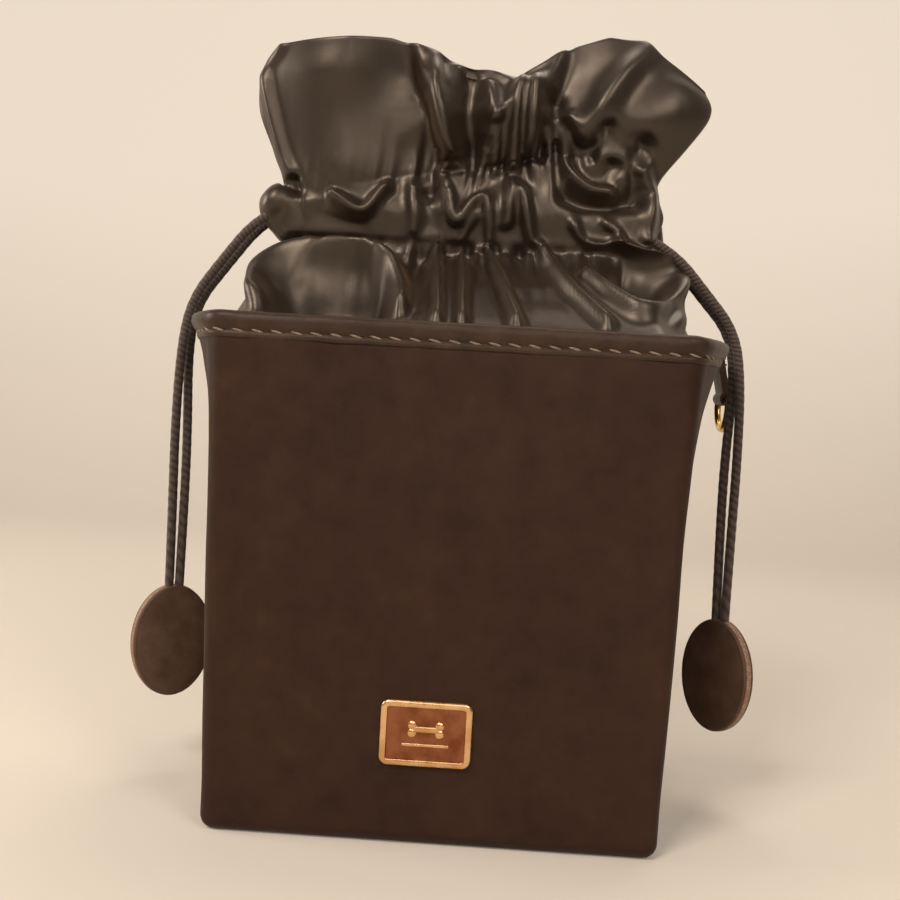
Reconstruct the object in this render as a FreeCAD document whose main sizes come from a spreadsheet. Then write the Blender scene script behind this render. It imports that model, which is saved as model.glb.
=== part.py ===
import FreeCAD, Part
import math
import os
import Sketcher

# A drawstring treat pouch: a leather box on a base plate, a cloth collar that folds in from
# the rim to a gathered neck, and two strings that run through the neck and hang down the sides
# to a leather tab each. Millimetres. Facing the front, +X is to the right, +Y is away from you,
# +Z is up, and the origin is the middle of the base, on the surface that the pouch stands on.

document = FreeCAD.newDocument("treat_pouch")
sheet = document.addObject("Spreadsheet::Sheet", "Dimensions")

DIMENSIONS = {
    # the leather box
    "base_width": 104.0,
    "rim_width": 109.0,
    "box_depth": 82.0,
    "box_height": 118.0,
    "bulge_base": 1.0,
    "bulge_rim": 12.5,
    "bulge_power": 4.6,
    "leather": 2.0,
    "base_leather": 2.2,
    "board": 1.2,
    "base_board": 1.5,
    "lining": 0.6,
    "layer_gap": 0.1,
    "cap_gap": 1.3,
    "edge_round": 1.5,
    # the folded rim
    "binding": 0.8,
    "binding_crown": 1.4,
    "binding_drop": 5.5,
    "stitch_pitch": 4.0,
    "stitch_run": 2.8,
    "thread": 0.5,
    "stitch_below_rim": 3.7,
    # the name plate
    "plate_width": 20.6,
    "plate_tall": 14.8,
    "plate_thick": 1.1,
    "plate_border": 1.4,
    "plate_recess": 0.4,
    "plate_height": 26.0,
    "plate_shift": -1.5,
    "post_spacing": 12.0,
    "post_radius": 0.8,
    "post_clearance": 0.05,
    "backing_width": 19.0,
    "backing_tall": 7.0,
    "backing_thick": 0.8,
    "window_margin": 1.0,
    # the ring on the right side
    "strap_width": 9.0,
    "strap_thick": 0.9,
    "strap_length": 12.0,
    "strap_tilt": 12.0,
    "strap_behind": 12.5,
    "strap_below_rim": 1.0,
    "ring_wire": 0.9,
    "ring_inside": 11.0,
    "ring_corner": 1.7,
    "ring_running": 0.08,
    # the cloth collar
    "cloth_clear": 0.3,
    "collar_cloth": 1.2,
    "hinge_inset": 0.9,
    "hinge_drop": 1.5,
    "skirt_rim_half": 50.0,
    "neck_half": 47.0,
    "neck_gap": 0.8,
    "casing_wall": 0.8,
    "neck_rise": 19.5,
    "casing_tall": 16.0,
    "ruffle_tall": 42.4,
    "ruffle_half": 60.0,
    "ruffle_thick": 8.0,
    "ruffle_lean": 12.0,
    "gusset_half": 30.0,
    "gusset_neck_half": 5.0,
    "gusset_neck_out": 1.4,
    "gusset_overlap": 1.5,
    # the strings
    "string_radius": 1.2,
    "string_play": 0.1,
    "right_string_rise": 6.1,
    "left_string_rise": 9.7,
    "string_split": 81.0,
    # the pull tabs
    "tab_width": 21.0,
    "tab_tall": 29.5,
    "tab_disc": 1.3,
    "tab_core": 1.4,
    "tab_core_margin": 1.2,
    "tab_flat": 0.5,
    "tab_top": 48.4,
    "right_tab_turn": -45.0,
    "left_tab_turn": 27.0,
}

for row, (alias, value) in enumerate(DIMENSIONS.items(), start=1):
    sheet.set("A%d" % row, alias)
    sheet.set("B%d" % row, str(value))
    sheet.setAlias("B%d" % row, alias)
document.recompute()


def size(alias):
    """The value of one driving dimension, read back from the sheet."""
    return float(sheet.get(alias))


def vector(x, y, z):
    return FreeCAD.Vector(x, y, z)


parts = []


def keep(item, label):
    """Name a finished sub-part and put it on the list that is written out."""
    item.Label = label
    parts.append(item)
    return item


def shape_part(label, shape, placement=None):
    """A sub-part whose outline no single feature gives: its Shape is set, then its place."""
    item = document.addObject("Part::Feature", label)
    item.Shape = shape
    if placement is not None:
        item.Placement = placement
    return keep(item, label)


# ---------------------------------------------------------------- the outline of the box

FRONT = -size("box_depth") / 2
BACK = size("box_depth") / 2
RIM = size("box_height")
# Heights, as shares of the box height, at which the side walls change their slope.
BULGE_LEVELS = (0.0, 0.34, 0.6, 0.75, 0.85, 0.93, 1.0)


def face_half(z):
    """Half the width of the front face at height z."""
    low = size("base_width") / 2
    high = size("rim_width") / 2
    return low + (high - low) * z / RIM


def bulge_at_level(level):
    low = size("bulge_base")
    return low + (size("bulge_rim") - low) * level ** size("bulge_power")


def bulge(z):
    """How far the middle of a side wall stands out past the front corners at height z."""
    share = min(max(z / RIM, 0.0), 1.0)
    for low, high in zip(BULGE_LEVELS, BULGE_LEVELS[1:]):
        if share <= high:
            part_way = (share - low) / (high - low)
            return bulge_at_level(low) * (1 - part_way) + bulge_at_level(high) * part_way
    return bulge_at_level(1.0)


def side_x(y, z, inset=0.0):
    """The side wall's x at depth y and height z, for the outline moved in by inset."""
    half = face_half(z) - inset
    reach = BACK - inset
    rise = bulge(z)
    radius = (reach ** 2 + rise ** 2) / (2 * rise)
    return half + rise - radius + math.sqrt(radius ** 2 - y ** 2)


def outline(z, inset=0.0):
    """The closed plan outline at height z: straight front and back, arched sides."""
    half = face_half(z) - inset
    reach = BACK - inset
    front_left = vector(-half, -reach, z)
    front_right = vector(half, -reach, z)
    back_right = vector(half, reach, z)
    back_left = vector(-half, reach, z)
    right_middle = vector(half + bulge(z), 0, z)
    left_middle = vector(-half - bulge(z), 0, z)
    edges = [
        Part.LineSegment(front_left, front_right).toShape(),
        Part.Arc(front_right, right_middle, back_right).toShape(),
        Part.LineSegment(back_right, back_left).toShape(),
        Part.Arc(back_left, left_middle, front_left).toShape(),
    ]
    return Part.Wire(edges)


def block(low, high, inset=0.0):
    """The solid inside the outline between two heights."""
    heights = [low]
    heights += [RIM * level for level in BULGE_LEVELS if low < RIM * level < high]
    heights.append(high)
    return Part.makeLoft([outline(z, inset) for z in heights], True, True)


def ring_wall(low, high, outer_inset, inner_inset):
    """The wall between two insets of the outline."""
    return block(low, high, outer_inset).cut(block(low - 1, high + 1, inner_inset))


# ---------------------------------------------------------------- sketched plates

def plane_of(body, role):
    for feature in body.Origin.OriginFeatures:
        if feature.Role == role:
            return feature
    raise ValueError(role)


def new_sketch(body, name, role="XZ_Plane"):
    sketch = body.newObject("Sketcher::SketchObject", name)
    sketch.AttachmentSupport = [(plane_of(body, role), "")]
    sketch.MapMode = "FlatFace"
    return sketch


def draw_trapezoid(sketch, low, high, low_width, high_width, middle="0"):
    """Four lines, level at the bottom and the top; each size is an expression."""
    corners = [(-10, 5), (10, 5), (12, 25), (-12, 25)]
    for start, end in zip(corners, corners[1:] + corners[:1]):
        line = Part.LineSegment(vector(*start, 0), vector(*end, 0))
        sketch.addGeometry(line, False)
    for index in range(4):
        sketch.addConstraint(Sketcher.Constraint("Coincident", index, 2, (index + 1) % 4, 1))
    sketch.addConstraint(Sketcher.Constraint("Horizontal", 0))
    sketch.addConstraint(Sketcher.Constraint("Horizontal", 2))
    values = [
        ("low", Sketcher.Constraint("DistanceY", -1, 1, 0, 1, 5.0), low),
        ("tall", Sketcher.Constraint("DistanceY", 0, 1, 2, 2, 20.0), "(%s) - (%s)" % (high, low)),
        ("low_width", Sketcher.Constraint("DistanceX", 0, 1, 0, 2, 20.0), low_width),
        ("high_width", Sketcher.Constraint("DistanceX", 2, 2, 2, 1, 24.0), high_width),
        ("left_low", Sketcher.Constraint("DistanceX", 0, 1, -1, 1, 10.0),
         "(%s) / 2 - (%s)" % (low_width, middle)),
        ("left_high", Sketcher.Constraint("DistanceX", 2, 2, -1, 1, 12.0),
         "(%s) / 2 - (%s)" % (high_width, middle)),
    ]
    for name, constraint, expression in values:
        index = sketch.addConstraint(constraint)
        sketch.renameConstraint(index, name)
        sketch.setExpression("Constraints." + name, expression)


def draw_circle(sketch, index, radius, centre_x, centre_z):
    sketch.addGeometry(Part.Circle(vector(3, 3, 0), vector(0, 0, 1), 1.0), False)
    values = [
        ("radius%d" % index, Sketcher.Constraint("Radius", index, 1.0), radius),
        ("across%d" % index, Sketcher.Constraint("DistanceX", -1, 1, index, 3, 3.0), centre_x),
        ("up%d" % index, Sketcher.Constraint("DistanceY", -1, 1, index, 3, 3.0), centre_z),
    ]
    for name, constraint, expression in values:
        number = sketch.addConstraint(constraint)
        sketch.renameConstraint(number, name)
        sketch.setExpression("Constraints." + name, expression)


def padded(body, sketch, thickness, name="Pad"):
    pad = body.newObject("PartDesign::Pad", name)
    pad.Profile = sketch
    pad.setExpression("Length", thickness)
    sketch.Visibility = False
    return pad


def through_pocket(body, sketch, name="Pocket"):
    """A pocket right through the plate, whichever way its sketch faces."""
    pocket = body.newObject("PartDesign::Pocket", name)
    pocket.Profile = sketch
    pocket.Type = "ThroughAll"
    pocket.Midplane = True
    sketch.Visibility = False
    return pocket


def face_width(height, trim):
    """The front face's width at a height, less a trim at each side, as an expression."""
    flare = "(Dimensions.rim_width - Dimensions.base_width) / Dimensions.box_height"
    return "Dimensions.base_width + %s * (%s) - 2 * (%s)" % (flare, height, trim)


PANEL_LOW = "Dimensions.base_leather"
PANEL_HIGH = "Dimensions.box_height - Dimensions.binding_crown - Dimensions.layer_gap"
BOARD_LOW = "Dimensions.base_leather + Dimensions.base_board + 2 * Dimensions.layer_gap"
BOARD_TRIM = "Dimensions.leather + 6 * Dimensions.layer_gap"
POST_MIDDLE = "Dimensions.plate_shift"
POST_HALF = "Dimensions.post_spacing / 2"
HOLE_RADIUS = "Dimensions.post_radius + Dimensions.post_clearance"


def wall_plate(label, low, high, trim, thickness, front_face):
    """An upright plate in the front face's own trapezoid. front_face is its nearer face's y."""
    body = document.addObject("PartDesign::Body", label)
    sketch = new_sketch(body, label + "_outline")
    draw_trapezoid(sketch, low, high, face_width(low, trim), face_width(high, trim))
    padded(body, sketch, thickness)
    # A sketch on the XZ plane pads towards -Y, so the body stands at its far face.
    body.setExpression("Placement.Base.y", "(%s) + (%s)" % (front_face, thickness))
    return keep(body, label)


def add_post_holes(body, name):
    document.recompute()
    sketch = new_sketch(body, name)
    for index, side in enumerate(("-", "+")):
        across = "%s %s %s" % (POST_MIDDLE, side, POST_HALF)
        draw_circle(sketch, index, HOLE_RADIUS, across, "Dimensions.plate_height")
    through_pocket(body, sketch, name + "_cut")


front_panel = wall_plate(
    "front_panel", PANEL_LOW, PANEL_HIGH, "0", "Dimensions.leather", "-Dimensions.box_depth / 2"
)
add_post_holes(front_panel, "front_post_holes")
wall_plate(
    "back_panel", PANEL_LOW, PANEL_HIGH, "0", "Dimensions.leather",
    "Dimensions.box_depth / 2 - Dimensions.leather",
)
front_board = wall_plate(
    "front_board", BOARD_LOW, PANEL_HIGH, BOARD_TRIM, "Dimensions.board",
    "-Dimensions.box_depth / 2 + Dimensions.leather + Dimensions.layer_gap",
)
document.recompute()
window = new_sketch(front_board, "plate_window")
WINDOW_TALL = "Dimensions.backing_tall / 2 + Dimensions.window_margin"
draw_trapezoid(
    window,
    "Dimensions.plate_height - (%s)" % WINDOW_TALL,
    "Dimensions.plate_height + (%s)" % WINDOW_TALL,
    "Dimensions.backing_width + 2 * Dimensions.window_margin",
    "Dimensions.backing_width + 2 * Dimensions.window_margin",
    POST_MIDDLE,
)
through_pocket(front_board, window, "plate_window_cut")
wall_plate(
    "back_board", BOARD_LOW, PANEL_HIGH, BOARD_TRIM, "Dimensions.board",
    "Dimensions.box_depth / 2 - Dimensions.leather - Dimensions.layer_gap - Dimensions.board",
)


# ---------------------------------------------------------------- the name plate

def make_name_plate():
    """A bordered brass plate, blank in its recess, with two posts through the leather."""
    body = document.addObject("PartDesign::Body", "name_plate")
    half = "Dimensions.plate_tall / 2"
    low = "Dimensions.plate_height - %s" % half
    high = "Dimensions.plate_height + %s" % half
    edge = new_sketch(body, "plate_edge")
    draw_trapezoid(edge, low, high, "Dimensions.plate_width", "Dimensions.plate_width", POST_MIDDLE)
    padded(body, edge, "Dimensions.plate_thick", "plate_pad")
    document.recompute()
    solid_volume = body.Shape.Volume

    recess = new_sketch(body, "plate_recess_outline")
    inner = "Dimensions.plate_width - 2 * Dimensions.plate_border"
    recess_low = low + " + Dimensions.plate_border"
    recess_high = high + " - Dimensions.plate_border"
    draw_trapezoid(recess, recess_low, recess_high, inner, inner, POST_MIDDLE)
    recess.setExpression("AttachmentOffset.Base.z", "Dimensions.plate_thick")
    pocket = body.newObject("PartDesign::Pocket", "plate_recess_cut")
    pocket.Profile = recess
    pocket.setExpression("Length", "Dimensions.plate_recess")
    document.recompute()
    if not body.Shape.Volume < solid_volume:
        raise RuntimeError("the recess cuts nothing")

    posts = new_sketch(body, "plate_posts")
    for index, side in enumerate(("-", "+")):
        across = "%s %s %s" % (POST_MIDDLE, side, POST_HALF)
        draw_circle(posts, index, "Dimensions.post_radius", across, "Dimensions.plate_height")
    pad = padded(body, posts, "Dimensions.leather + Dimensions.backing_thick"
                 " + 2 * Dimensions.layer_gap", "plate_posts_pad")
    pad.Reversed = True
    body.setExpression("Placement.Base.y", "-Dimensions.box_depth / 2 - Dimensions.layer_gap")
    return keep(body, "name_plate")


def make_plate_backing():
    """The strip inside the front wall that the plate's two posts are riveted to."""
    body = document.addObject("PartDesign::Body", "plate_backing")
    sketch = new_sketch(body, "backing_outline")
    low = "Dimensions.plate_height - Dimensions.backing_tall / 2"
    high = "Dimensions.plate_height + Dimensions.backing_tall / 2"
    draw_trapezoid(
        sketch, low, high, "Dimensions.backing_width", "Dimensions.backing_width", POST_MIDDLE
    )
    padded(body, sketch, "Dimensions.backing_thick")
    add_post_holes(body, "backing_post_holes")
    body.setExpression(
        "Placement.Base.y",
        "-Dimensions.box_depth / 2 + Dimensions.leather + Dimensions.layer_gap"
        " + Dimensions.backing_thick",
    )
    return keep(body, "plate_backing")


make_name_plate()
make_plate_backing()

# ---------------------------------------------------------------- base, sides and lining

gap = size("layer_gap")
leather = size("leather")
panel_low = size("base_leather")
panel_high = RIM - size("binding_crown") - gap
board_low = panel_low + size("base_board") + 2 * gap
lining_outer = leather + size("cap_gap") + gap
lining_inner = lining_outer + size("lining")


def make_base_panel():
    """The bottom leather, its lower edge rounded where it turns up to the walls."""
    plate = Part.Face(outline(panel_low)).extrude(vector(0, 0, -panel_low))
    bottom_edges = [edge for edge in plate.Edges if edge.BoundBox.ZMax < gap]
    return plate.makeFillet(size("edge_round"), bottom_edges)


def make_side_panel(direction):
    """One arched side wall, between the front and back walls."""
    wall = ring_wall(panel_low, panel_high, 0.0, leather)
    reach = BACK - leather
    wide = size("rim_width")
    room = Part.makeBox(wide, 2 * reach, RIM, vector(0, -reach, 0))
    if direction < 0:
        room.translate(vector(-wide, 0, 0))
    return wall.common(room)


shape_part("base_panel", make_base_panel())
shape_part("left_side_panel", make_side_panel(-1))
shape_part("right_side_panel", make_side_panel(1))

base_board_low = panel_low + gap
base_board_face = Part.Face(outline(base_board_low, leather + gap))
shape_part("base_board", base_board_face.extrude(vector(0, 0, size("base_board"))))

shape_part("wall_lining", ring_wall(board_low, panel_high, lining_outer, lining_inner))
base_lining_face = Part.Face(outline(board_low, lining_inner + gap))
shape_part("base_lining", base_lining_face.extrude(vector(0, 0, size("lining"))))

# ---------------------------------------------------------------- the folded rim

binding_outer = -gap - size("binding")
binding_inner = lining_inner + gap + size("binding")
binding_low = RIM - size("binding_drop")


def make_rim_binding():
    """One strip folded over the top edge of the walls, all the way round."""
    solid = ring_wall(binding_low, RIM, binding_outer, binding_inner)
    channel = ring_wall(binding_low - 1, RIM - size("binding_crown"), -gap, lining_inner + gap)
    return solid.cut(channel)


def rim_stitches():
    """Short runs of thread round the rim: straight rows front and back, arched at the sides."""
    run = size("stitch_run")
    thread = size("thread")
    pitch = size("stitch_pitch")
    height = RIM - size("stitch_below_rim")
    stand_off = gap / 2
    half = face_half(height) - 1
    outer_reach = BACK - binding_outer + stand_off
    count = int(2 * half / pitch)
    bars = []
    for index in range(count):
        across = (index - (count - 1) / 2) * pitch
        bar = Part.makeBox(run, thread, thread, vector(across - run / 2, outer_reach, height))
        bars.append(bar)
        bars.append(bar.mirror(vector(0, 0, 0), vector(0, 1, 0)))
    side_reach = BACK - 2
    side_count = int(2 * side_reach / pitch)
    for index in range(side_count):
        along = (index - (side_count - 1) / 2) * pitch
        step = run / 2
        ahead = side_x(along + step, height, binding_outer)
        behind = side_x(along - step, height, binding_outer)
        middle = side_x(along, height + thread, binding_outer)
        turn = math.degrees(math.atan2(behind - ahead, run))
        bar = Part.makeBox(thread, run, thread, vector(stand_off, -run / 2, 0))
        bar.rotate(vector(0, 0, 0), vector(0, 0, 1), turn)
        bar.translate(vector(middle, along, height))
        bars.append(bar)
        bars.append(bar.mirror(vector(0, 0, 0), vector(1, 0, 0)))
    return Part.makeCompound(bars)


shape_part("rim_binding", make_rim_binding())
shape_part("rim_thread", rim_stitches())

# ---------------------------------------------------------------- the ring and its strap

ring_wire = size("ring_wire")
strap_thick = size("strap_thick")
strap_behind = size("strap_behind")
loop_bore = ring_wire + size("ring_running")
loop_outer = loop_bore + strap_thick
strap_seat_z = RIM - size("strap_below_rim")
strap_seat_x = side_x(strap_behind - size("strap_width") / 2, RIM, binding_outer) + gap
strap_tilt = size("strap_tilt")


def strap_place(x, z):
    """A point of the strap's own upright section, after the strap has been tilted outwards."""
    angle = math.radians(strap_tilt)
    return (
        strap_seat_x + x * math.cos(angle) - z * math.sin(angle),
        strap_seat_z + x * math.sin(angle) + z * math.cos(angle),
    )


bar_x, bar_z = strap_place(strap_thick, -size("strap_length"))


def make_ring_strap():
    """A leather strip folded round the ring's bar, both ends sewn flat to the rim."""
    width = size("strap_width")
    length = size("strap_length")
    back_of_strap = strap_behind - width / 2
    fold = vector(strap_thick, 0, -length)
    doubled_low = vector(0, 0, loop_bore - length)
    doubled = Part.makeBox(2 * strap_thick, width, length - loop_bore, doubled_low)
    loop = Part.makeCylinder(loop_outer, width, fold, vector(0, 1, 0))
    bore = Part.makeCylinder(loop_bore, width, fold, vector(0, 1, 0))
    strap = doubled.fuse(loop).cut(bore).removeSplitter()
    strap.rotate(vector(0, 0, 0), vector(0, 1, 0), -strap_tilt)
    strap.translate(vector(strap_seat_x, back_of_strap, strap_seat_z))
    return strap


def make_strap_thread():
    """Two rows of thread on the strap's outer face."""
    run = size("stitch_run")
    thread = size("thread")
    face = 2 * strap_thick + gap / 2
    bars = []
    for row in (1, 2):
        for side in (-1, 1):
            across = strap_behind + side * size("strap_width") / 4
            low = -row * (thread + 1.2)
            bars.append(Part.makeBox(thread, run, thread, vector(face, across - run / 2, low)))
    rows = Part.makeCompound(bars)
    rows.rotate(vector(0, 0, 0), vector(0, 1, 0), -strap_tilt)
    rows.translate(vector(strap_seat_x, 0, strap_seat_z))
    return rows


def make_ring():
    """A D of round wire: a straight bar through the strap, and a half circle below it."""
    reach = size("ring_inside") / 2 + ring_wire
    corner = size("ring_corner")
    straight = reach - corner
    diagonal = corner * (1 - math.sqrt(0.5))
    bar_left = vector(0, -straight, 0)
    bar_right = vector(0, straight, 0)
    low_right = vector(0, reach, -corner)
    low_left = vector(0, -reach, -corner)
    edges = [
        Part.LineSegment(bar_left, bar_right).toShape(),
        Part.Arc(bar_right, vector(0, reach - diagonal, -diagonal), low_right).toShape(),
        Part.Arc(low_right, vector(0, 0, -corner - reach), low_left).toShape(),
        Part.Arc(low_left, vector(0, diagonal - reach, -diagonal), bar_left).toShape(),
    ]
    path = Part.Wire(edges)
    section = Part.Wire([Part.Circle(vector(0, 0, 0), vector(0, 1, 0), ring_wire).toShape()])
    ring = path.makePipeShell([section], True, False)
    ring.translate(vector(bar_x, strap_behind, bar_z))
    return ring


shape_part("ring_strap", make_ring_strap())
shape_part("ring_strap_thread", make_strap_thread())
shape_part("d_ring", make_ring())

# ---------------------------------------------------------------- the collar

clear = size("cloth_clear")
cloth = size("collar_cloth")
string_radius = size("string_radius")
channel_half = string_radius + size("string_play")
casing_half = channel_half + size("casing_wall")
casing_middle = size("neck_gap") + casing_half
casing_low = RIM + size("neck_rise")
casing_high = casing_low + size("casing_tall")
ruffle_top = casing_high + gap + size("ruffle_tall")
right_string_z = casing_low + size("right_string_rise")
left_string_z = casing_low + size("left_string_rise")
neck_half = size("neck_half")
hinge_y = FRONT + binding_inner + size("hinge_inset")
hinge_z = RIM - size("hinge_drop")


def rectangle(corners):
    return Part.makePolygon([vector(*corner) for corner in corners + corners[:1]])


def make_skirt():
    """The front slope of the collar, from the rim in to the neck."""
    end_y = -casing_middle
    end_z = casing_low - clear
    slope = math.atan2(end_z - hinge_z, end_y - hinge_y)
    across_y = -math.sin(slope) * cloth / 2
    across_z = math.cos(slope) * cloth / 2
    start_y = hinge_y + math.cos(slope) * cloth / 2
    start_z = hinge_z + math.sin(slope) * cloth / 2
    end_z -= across_z
    rim_half = size("skirt_rim_half")
    at_rim = [
        (-rim_half, start_y + across_y, start_z + across_z),
        (rim_half, start_y + across_y, start_z + across_z),
        (rim_half, start_y - across_y, start_z - across_z),
        (-rim_half, start_y - across_y, start_z - across_z),
    ]
    at_neck = [
        (-neck_half, end_y + across_y, end_z + across_z),
        (neck_half, end_y + across_y, end_z + across_z),
        (neck_half, end_y - across_y, end_z - across_z),
        (-neck_half, end_y - across_y, end_z - across_z),
    ]
    return Part.makeLoft([rectangle(at_rim), rectangle(at_neck)], True, True)


def make_casing():
    """The flat tunnel in the neck that both strings run through, open at its two ends."""
    tunnel_low = right_string_z - channel_half
    tunnel_high = left_string_z + channel_half
    low_corner = vector(-neck_half, -casing_middle - casing_half, casing_low)
    outside = Part.makeBox(2 * neck_half, 2 * casing_half, size("casing_tall"), low_corner)
    tunnel = Part.makeBox(
        2 * neck_half, 2 * channel_half, tunnel_high - tunnel_low,
        vector(-neck_half, -casing_middle - channel_half, tunnel_low),
    )
    return outside.cut(tunnel)


def make_ruffle():
    """The gathered frill above the neck, leaning out and widening to its top edge."""
    low_z = casing_high + gap
    high_z = ruffle_top
    thick = size("ruffle_thick")
    top_half = size("ruffle_half")
    low_front = -casing_middle - casing_half
    low_back = -casing_middle + casing_half
    high_back = -size("ruffle_lean") + thick / 2
    high_front = high_back - thick
    low = [
        (-neck_half, low_front, low_z), (neck_half, low_front, low_z),
        (neck_half, low_back, low_z), (-neck_half, low_back, low_z),
    ]
    high = [
        (-top_half, high_front, high_z), (top_half, high_front, high_z),
        (top_half, high_back, high_z), (-top_half, high_back, high_z),
    ]
    return Part.makeLoft([rectangle(low), rectangle(high)], True, True)


def make_gusset():
    """The right end of the collar: an arched slope from the side rim in to the neck's end."""
    low_z = hinge_z
    high_z = casing_low + size("gusset_overlap")
    outer_inset = binding_inner + clear
    inner_inset = outer_inset + cloth
    reach = size("gusset_half")
    low_edges = []
    outer = [vector(side_x(y, low_z, outer_inset), y, low_z) for y in (-reach, 0.0, reach)]
    inner = [vector(side_x(y, low_z, inner_inset), y, low_z) for y in (reach, 0.0, -reach)]
    low_edges.append(Part.Arc(*outer).toShape())
    low_edges.append(Part.LineSegment(outer[2], inner[0]).toShape())
    low_edges.append(Part.Arc(*inner).toShape())
    low_edges.append(Part.LineSegment(inner[2], outer[0]).toShape())
    neck_x = neck_half + size("gusset_neck_out")
    neck_y = size("gusset_neck_half")
    high = [
        (neck_x + cloth, -neck_y, high_z), (neck_x + cloth, neck_y, high_z),
        (neck_x, neck_y, high_z), (neck_x, -neck_y, high_z),
    ]
    return Part.makeLoft([Part.Wire(low_edges), rectangle(high)], True, True)


across_x = vector(1, 0, 0)
across_y = vector(0, 1, 0)
centre = vector(0, 0, 0)

for name, shape in (("skirt", make_skirt()), ("casing", make_casing()), ("ruffle", make_ruffle())):
    shape_part("front_" + name, shape)
    shape_part("back_" + name, shape.mirror(centre, across_y))
gusset = make_gusset()
shape_part("right_gusset", gusset)
shape_part("left_gusset", gusset.mirror(centre, across_x))

# ---------------------------------------------------------------- the strings

# Each string enters the neck at its own side, runs through the front tunnel to the far side,
# turns, comes back through the back tunnel, and hangs down its own side as two legs.
# A leg's route: out of the neck, down the slope, over the rim, and straight down.
EXIT_GAP = 0.5
EXIT_X = neck_half + EXIT_GAP
ROUTES = {
    "right_string_front": [
        (EXIT_X, -casing_middle, right_string_z), (54.6, -2.7, 142.6), (63.4, -2.1, 134.6),
        (70.6, -1.6, 123.8), (72.3, -1.4, 110.0), (72.6, -1.3, 89.5), (72.4, -1.1, 69.0),
        (72.3, -0.9, 48.0),
    ],
    "right_string_back": [
        (EXIT_X, casing_middle, right_string_z), (54.2, 2.7, 142.4), (62.8, 2.2, 134.0),
        (69.9, 1.7, 123.4), (71.0, 1.5, 109.6), (70.0, 1.4, 89.0), (70.1, 1.2, 68.6),
        (70.5, 0.9, 48.0),
    ],
    "left_string_front": [
        (-EXIT_X, -casing_middle, left_string_z), (-54.8, -2.7, 145.9), (-63.6, -2.1, 136.4),
        (-70.3, -1.7, 124.4), (-72.0, -1.5, 110.0), (-72.5, -1.3, 89.0), (-72.3, -0.9, 68.4),
        (-72.3, -0.6, 48.0),
    ],
    "left_string_back": [
        (-EXIT_X, casing_middle, left_string_z), (-54.4, 2.7, 145.6), (-63.0, 2.2, 135.8),
        (-69.7, 1.8, 124.0), (-70.8, 1.6, 109.6), (-69.9, 1.4, 88.6), (-69.8, 1.0, 68.2),
        (-70.0, 0.6, 48.0),
    ],
}
TAB_MIDDLE = {"right": 71.4, "left": -71.15}
TURN_SHARE = 0.45


def rounded_path(points, label):
    """Straight runs joined by tangent arcs, as large as each arc's two runs allow."""
    corners = [vector(*point) for point in points]
    edges = []
    radii = []
    start = corners[0]
    for before, corner, after in zip(corners, corners[1:], corners[2:]):
        incoming = (corner - before).normalize()
        outgoing = (after - corner).normalize()
        half_turn = incoming.getAngle(outgoing) / 2
        trim = TURN_SHARE * min((corner - before).Length, (after - corner).Length)
        radius = trim / math.tan(half_turn)
        inward = (outgoing - incoming).normalize()
        middle = corner + inward * (radius / math.cos(half_turn) - radius)
        arc_start = corner - incoming * trim
        arc_end = corner + outgoing * trim
        edges.append(Part.LineSegment(start, arc_start).toShape())
        edges.append(Part.Arc(arc_start, middle, arc_end).toShape())
        radii.append(radius)
        start = arc_end
    edges.append(Part.LineSegment(start, corners[-1]).toShape())
    path = Part.Wire(edges)
    print(label, "length %.1f" % path.Length, "radii", " ".join("%.1f" % r for r in radii))
    return path


def tube(path, label):
    """A round string along a path; its volume is compared with its section times its length."""
    first = path.Edges[0]
    start = first.valueAt(first.FirstParameter)
    direction = first.tangentAt(first.FirstParameter)
    section = Part.Wire([Part.Circle(start, direction, string_radius).toShape()])
    solid = path.makePipeShell([section], True, False)
    expected = math.pi * string_radius ** 2 * path.Length
    if abs(solid.Volume / expected - 1) > 0.01:
        raise RuntimeError("%s: volume %.1f, not %.1f" % (label, solid.Volume, expected))
    return solid


def make_runs(side, direction, height):
    """One string inside the neck: its two runs, and the turn at the end far from its tab."""
    run = Part.makeCylinder(
        string_radius, 2 * neck_half, vector(-neck_half, -casing_middle, height), across_x
    )
    shape_part(side + "_string_front_run", run)
    shape_part(side + "_string_back_run", run.mirror(centre, across_y))
    far = -direction * EXIT_X
    turn_path = Part.Wire([Part.Arc(
        vector(far, -casing_middle, height),
        vector(far - direction * casing_middle, 0, height),
        vector(far, casing_middle, height),
    ).toShape()])
    shape_part(side + "_string_turn", tube(turn_path, side + "_string_turn"))


def make_leg(name, route):
    """One hanging leg, in the length that stays and the length that rises with the tab."""
    leg = tube(rounded_path(route, name), name)
    split = size("string_split")
    tab_top = size("tab_top")
    wide = ruffle_top
    above = Part.makeBox(2 * wide, 2 * wide, wide, vector(-wide, -wide, split))
    below = Part.makeBox(2 * wide, 2 * wide, split - tab_top, vector(-wide, -wide, tab_top))
    shape_part(name + "_leg", leg.common(above))
    shape_part(name + "_end", leg.common(below))


make_runs("right", 1, right_string_z)
make_runs("left", -1, left_string_z)
for route_name, route_points in ROUTES.items():
    make_leg(route_name, route_points)

# ---------------------------------------------------------------- the pull tabs

def oval(width, tall, thick, front):
    """An upright oval disc centred on the origin, its front face at y = front."""
    ellipse = Part.Ellipse(centre, tall / 2, width / 2).toShape()
    disc = Part.Face(Part.Wire([ellipse])).extrude(vector(0, 0, thick))
    disc.rotate(centre, vector(0, 0, 1), 90)
    disc.rotate(centre, vector(1, 0, 0), 90)
    disc.translate(vector(0, front + thick, 0))
    return disc


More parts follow.
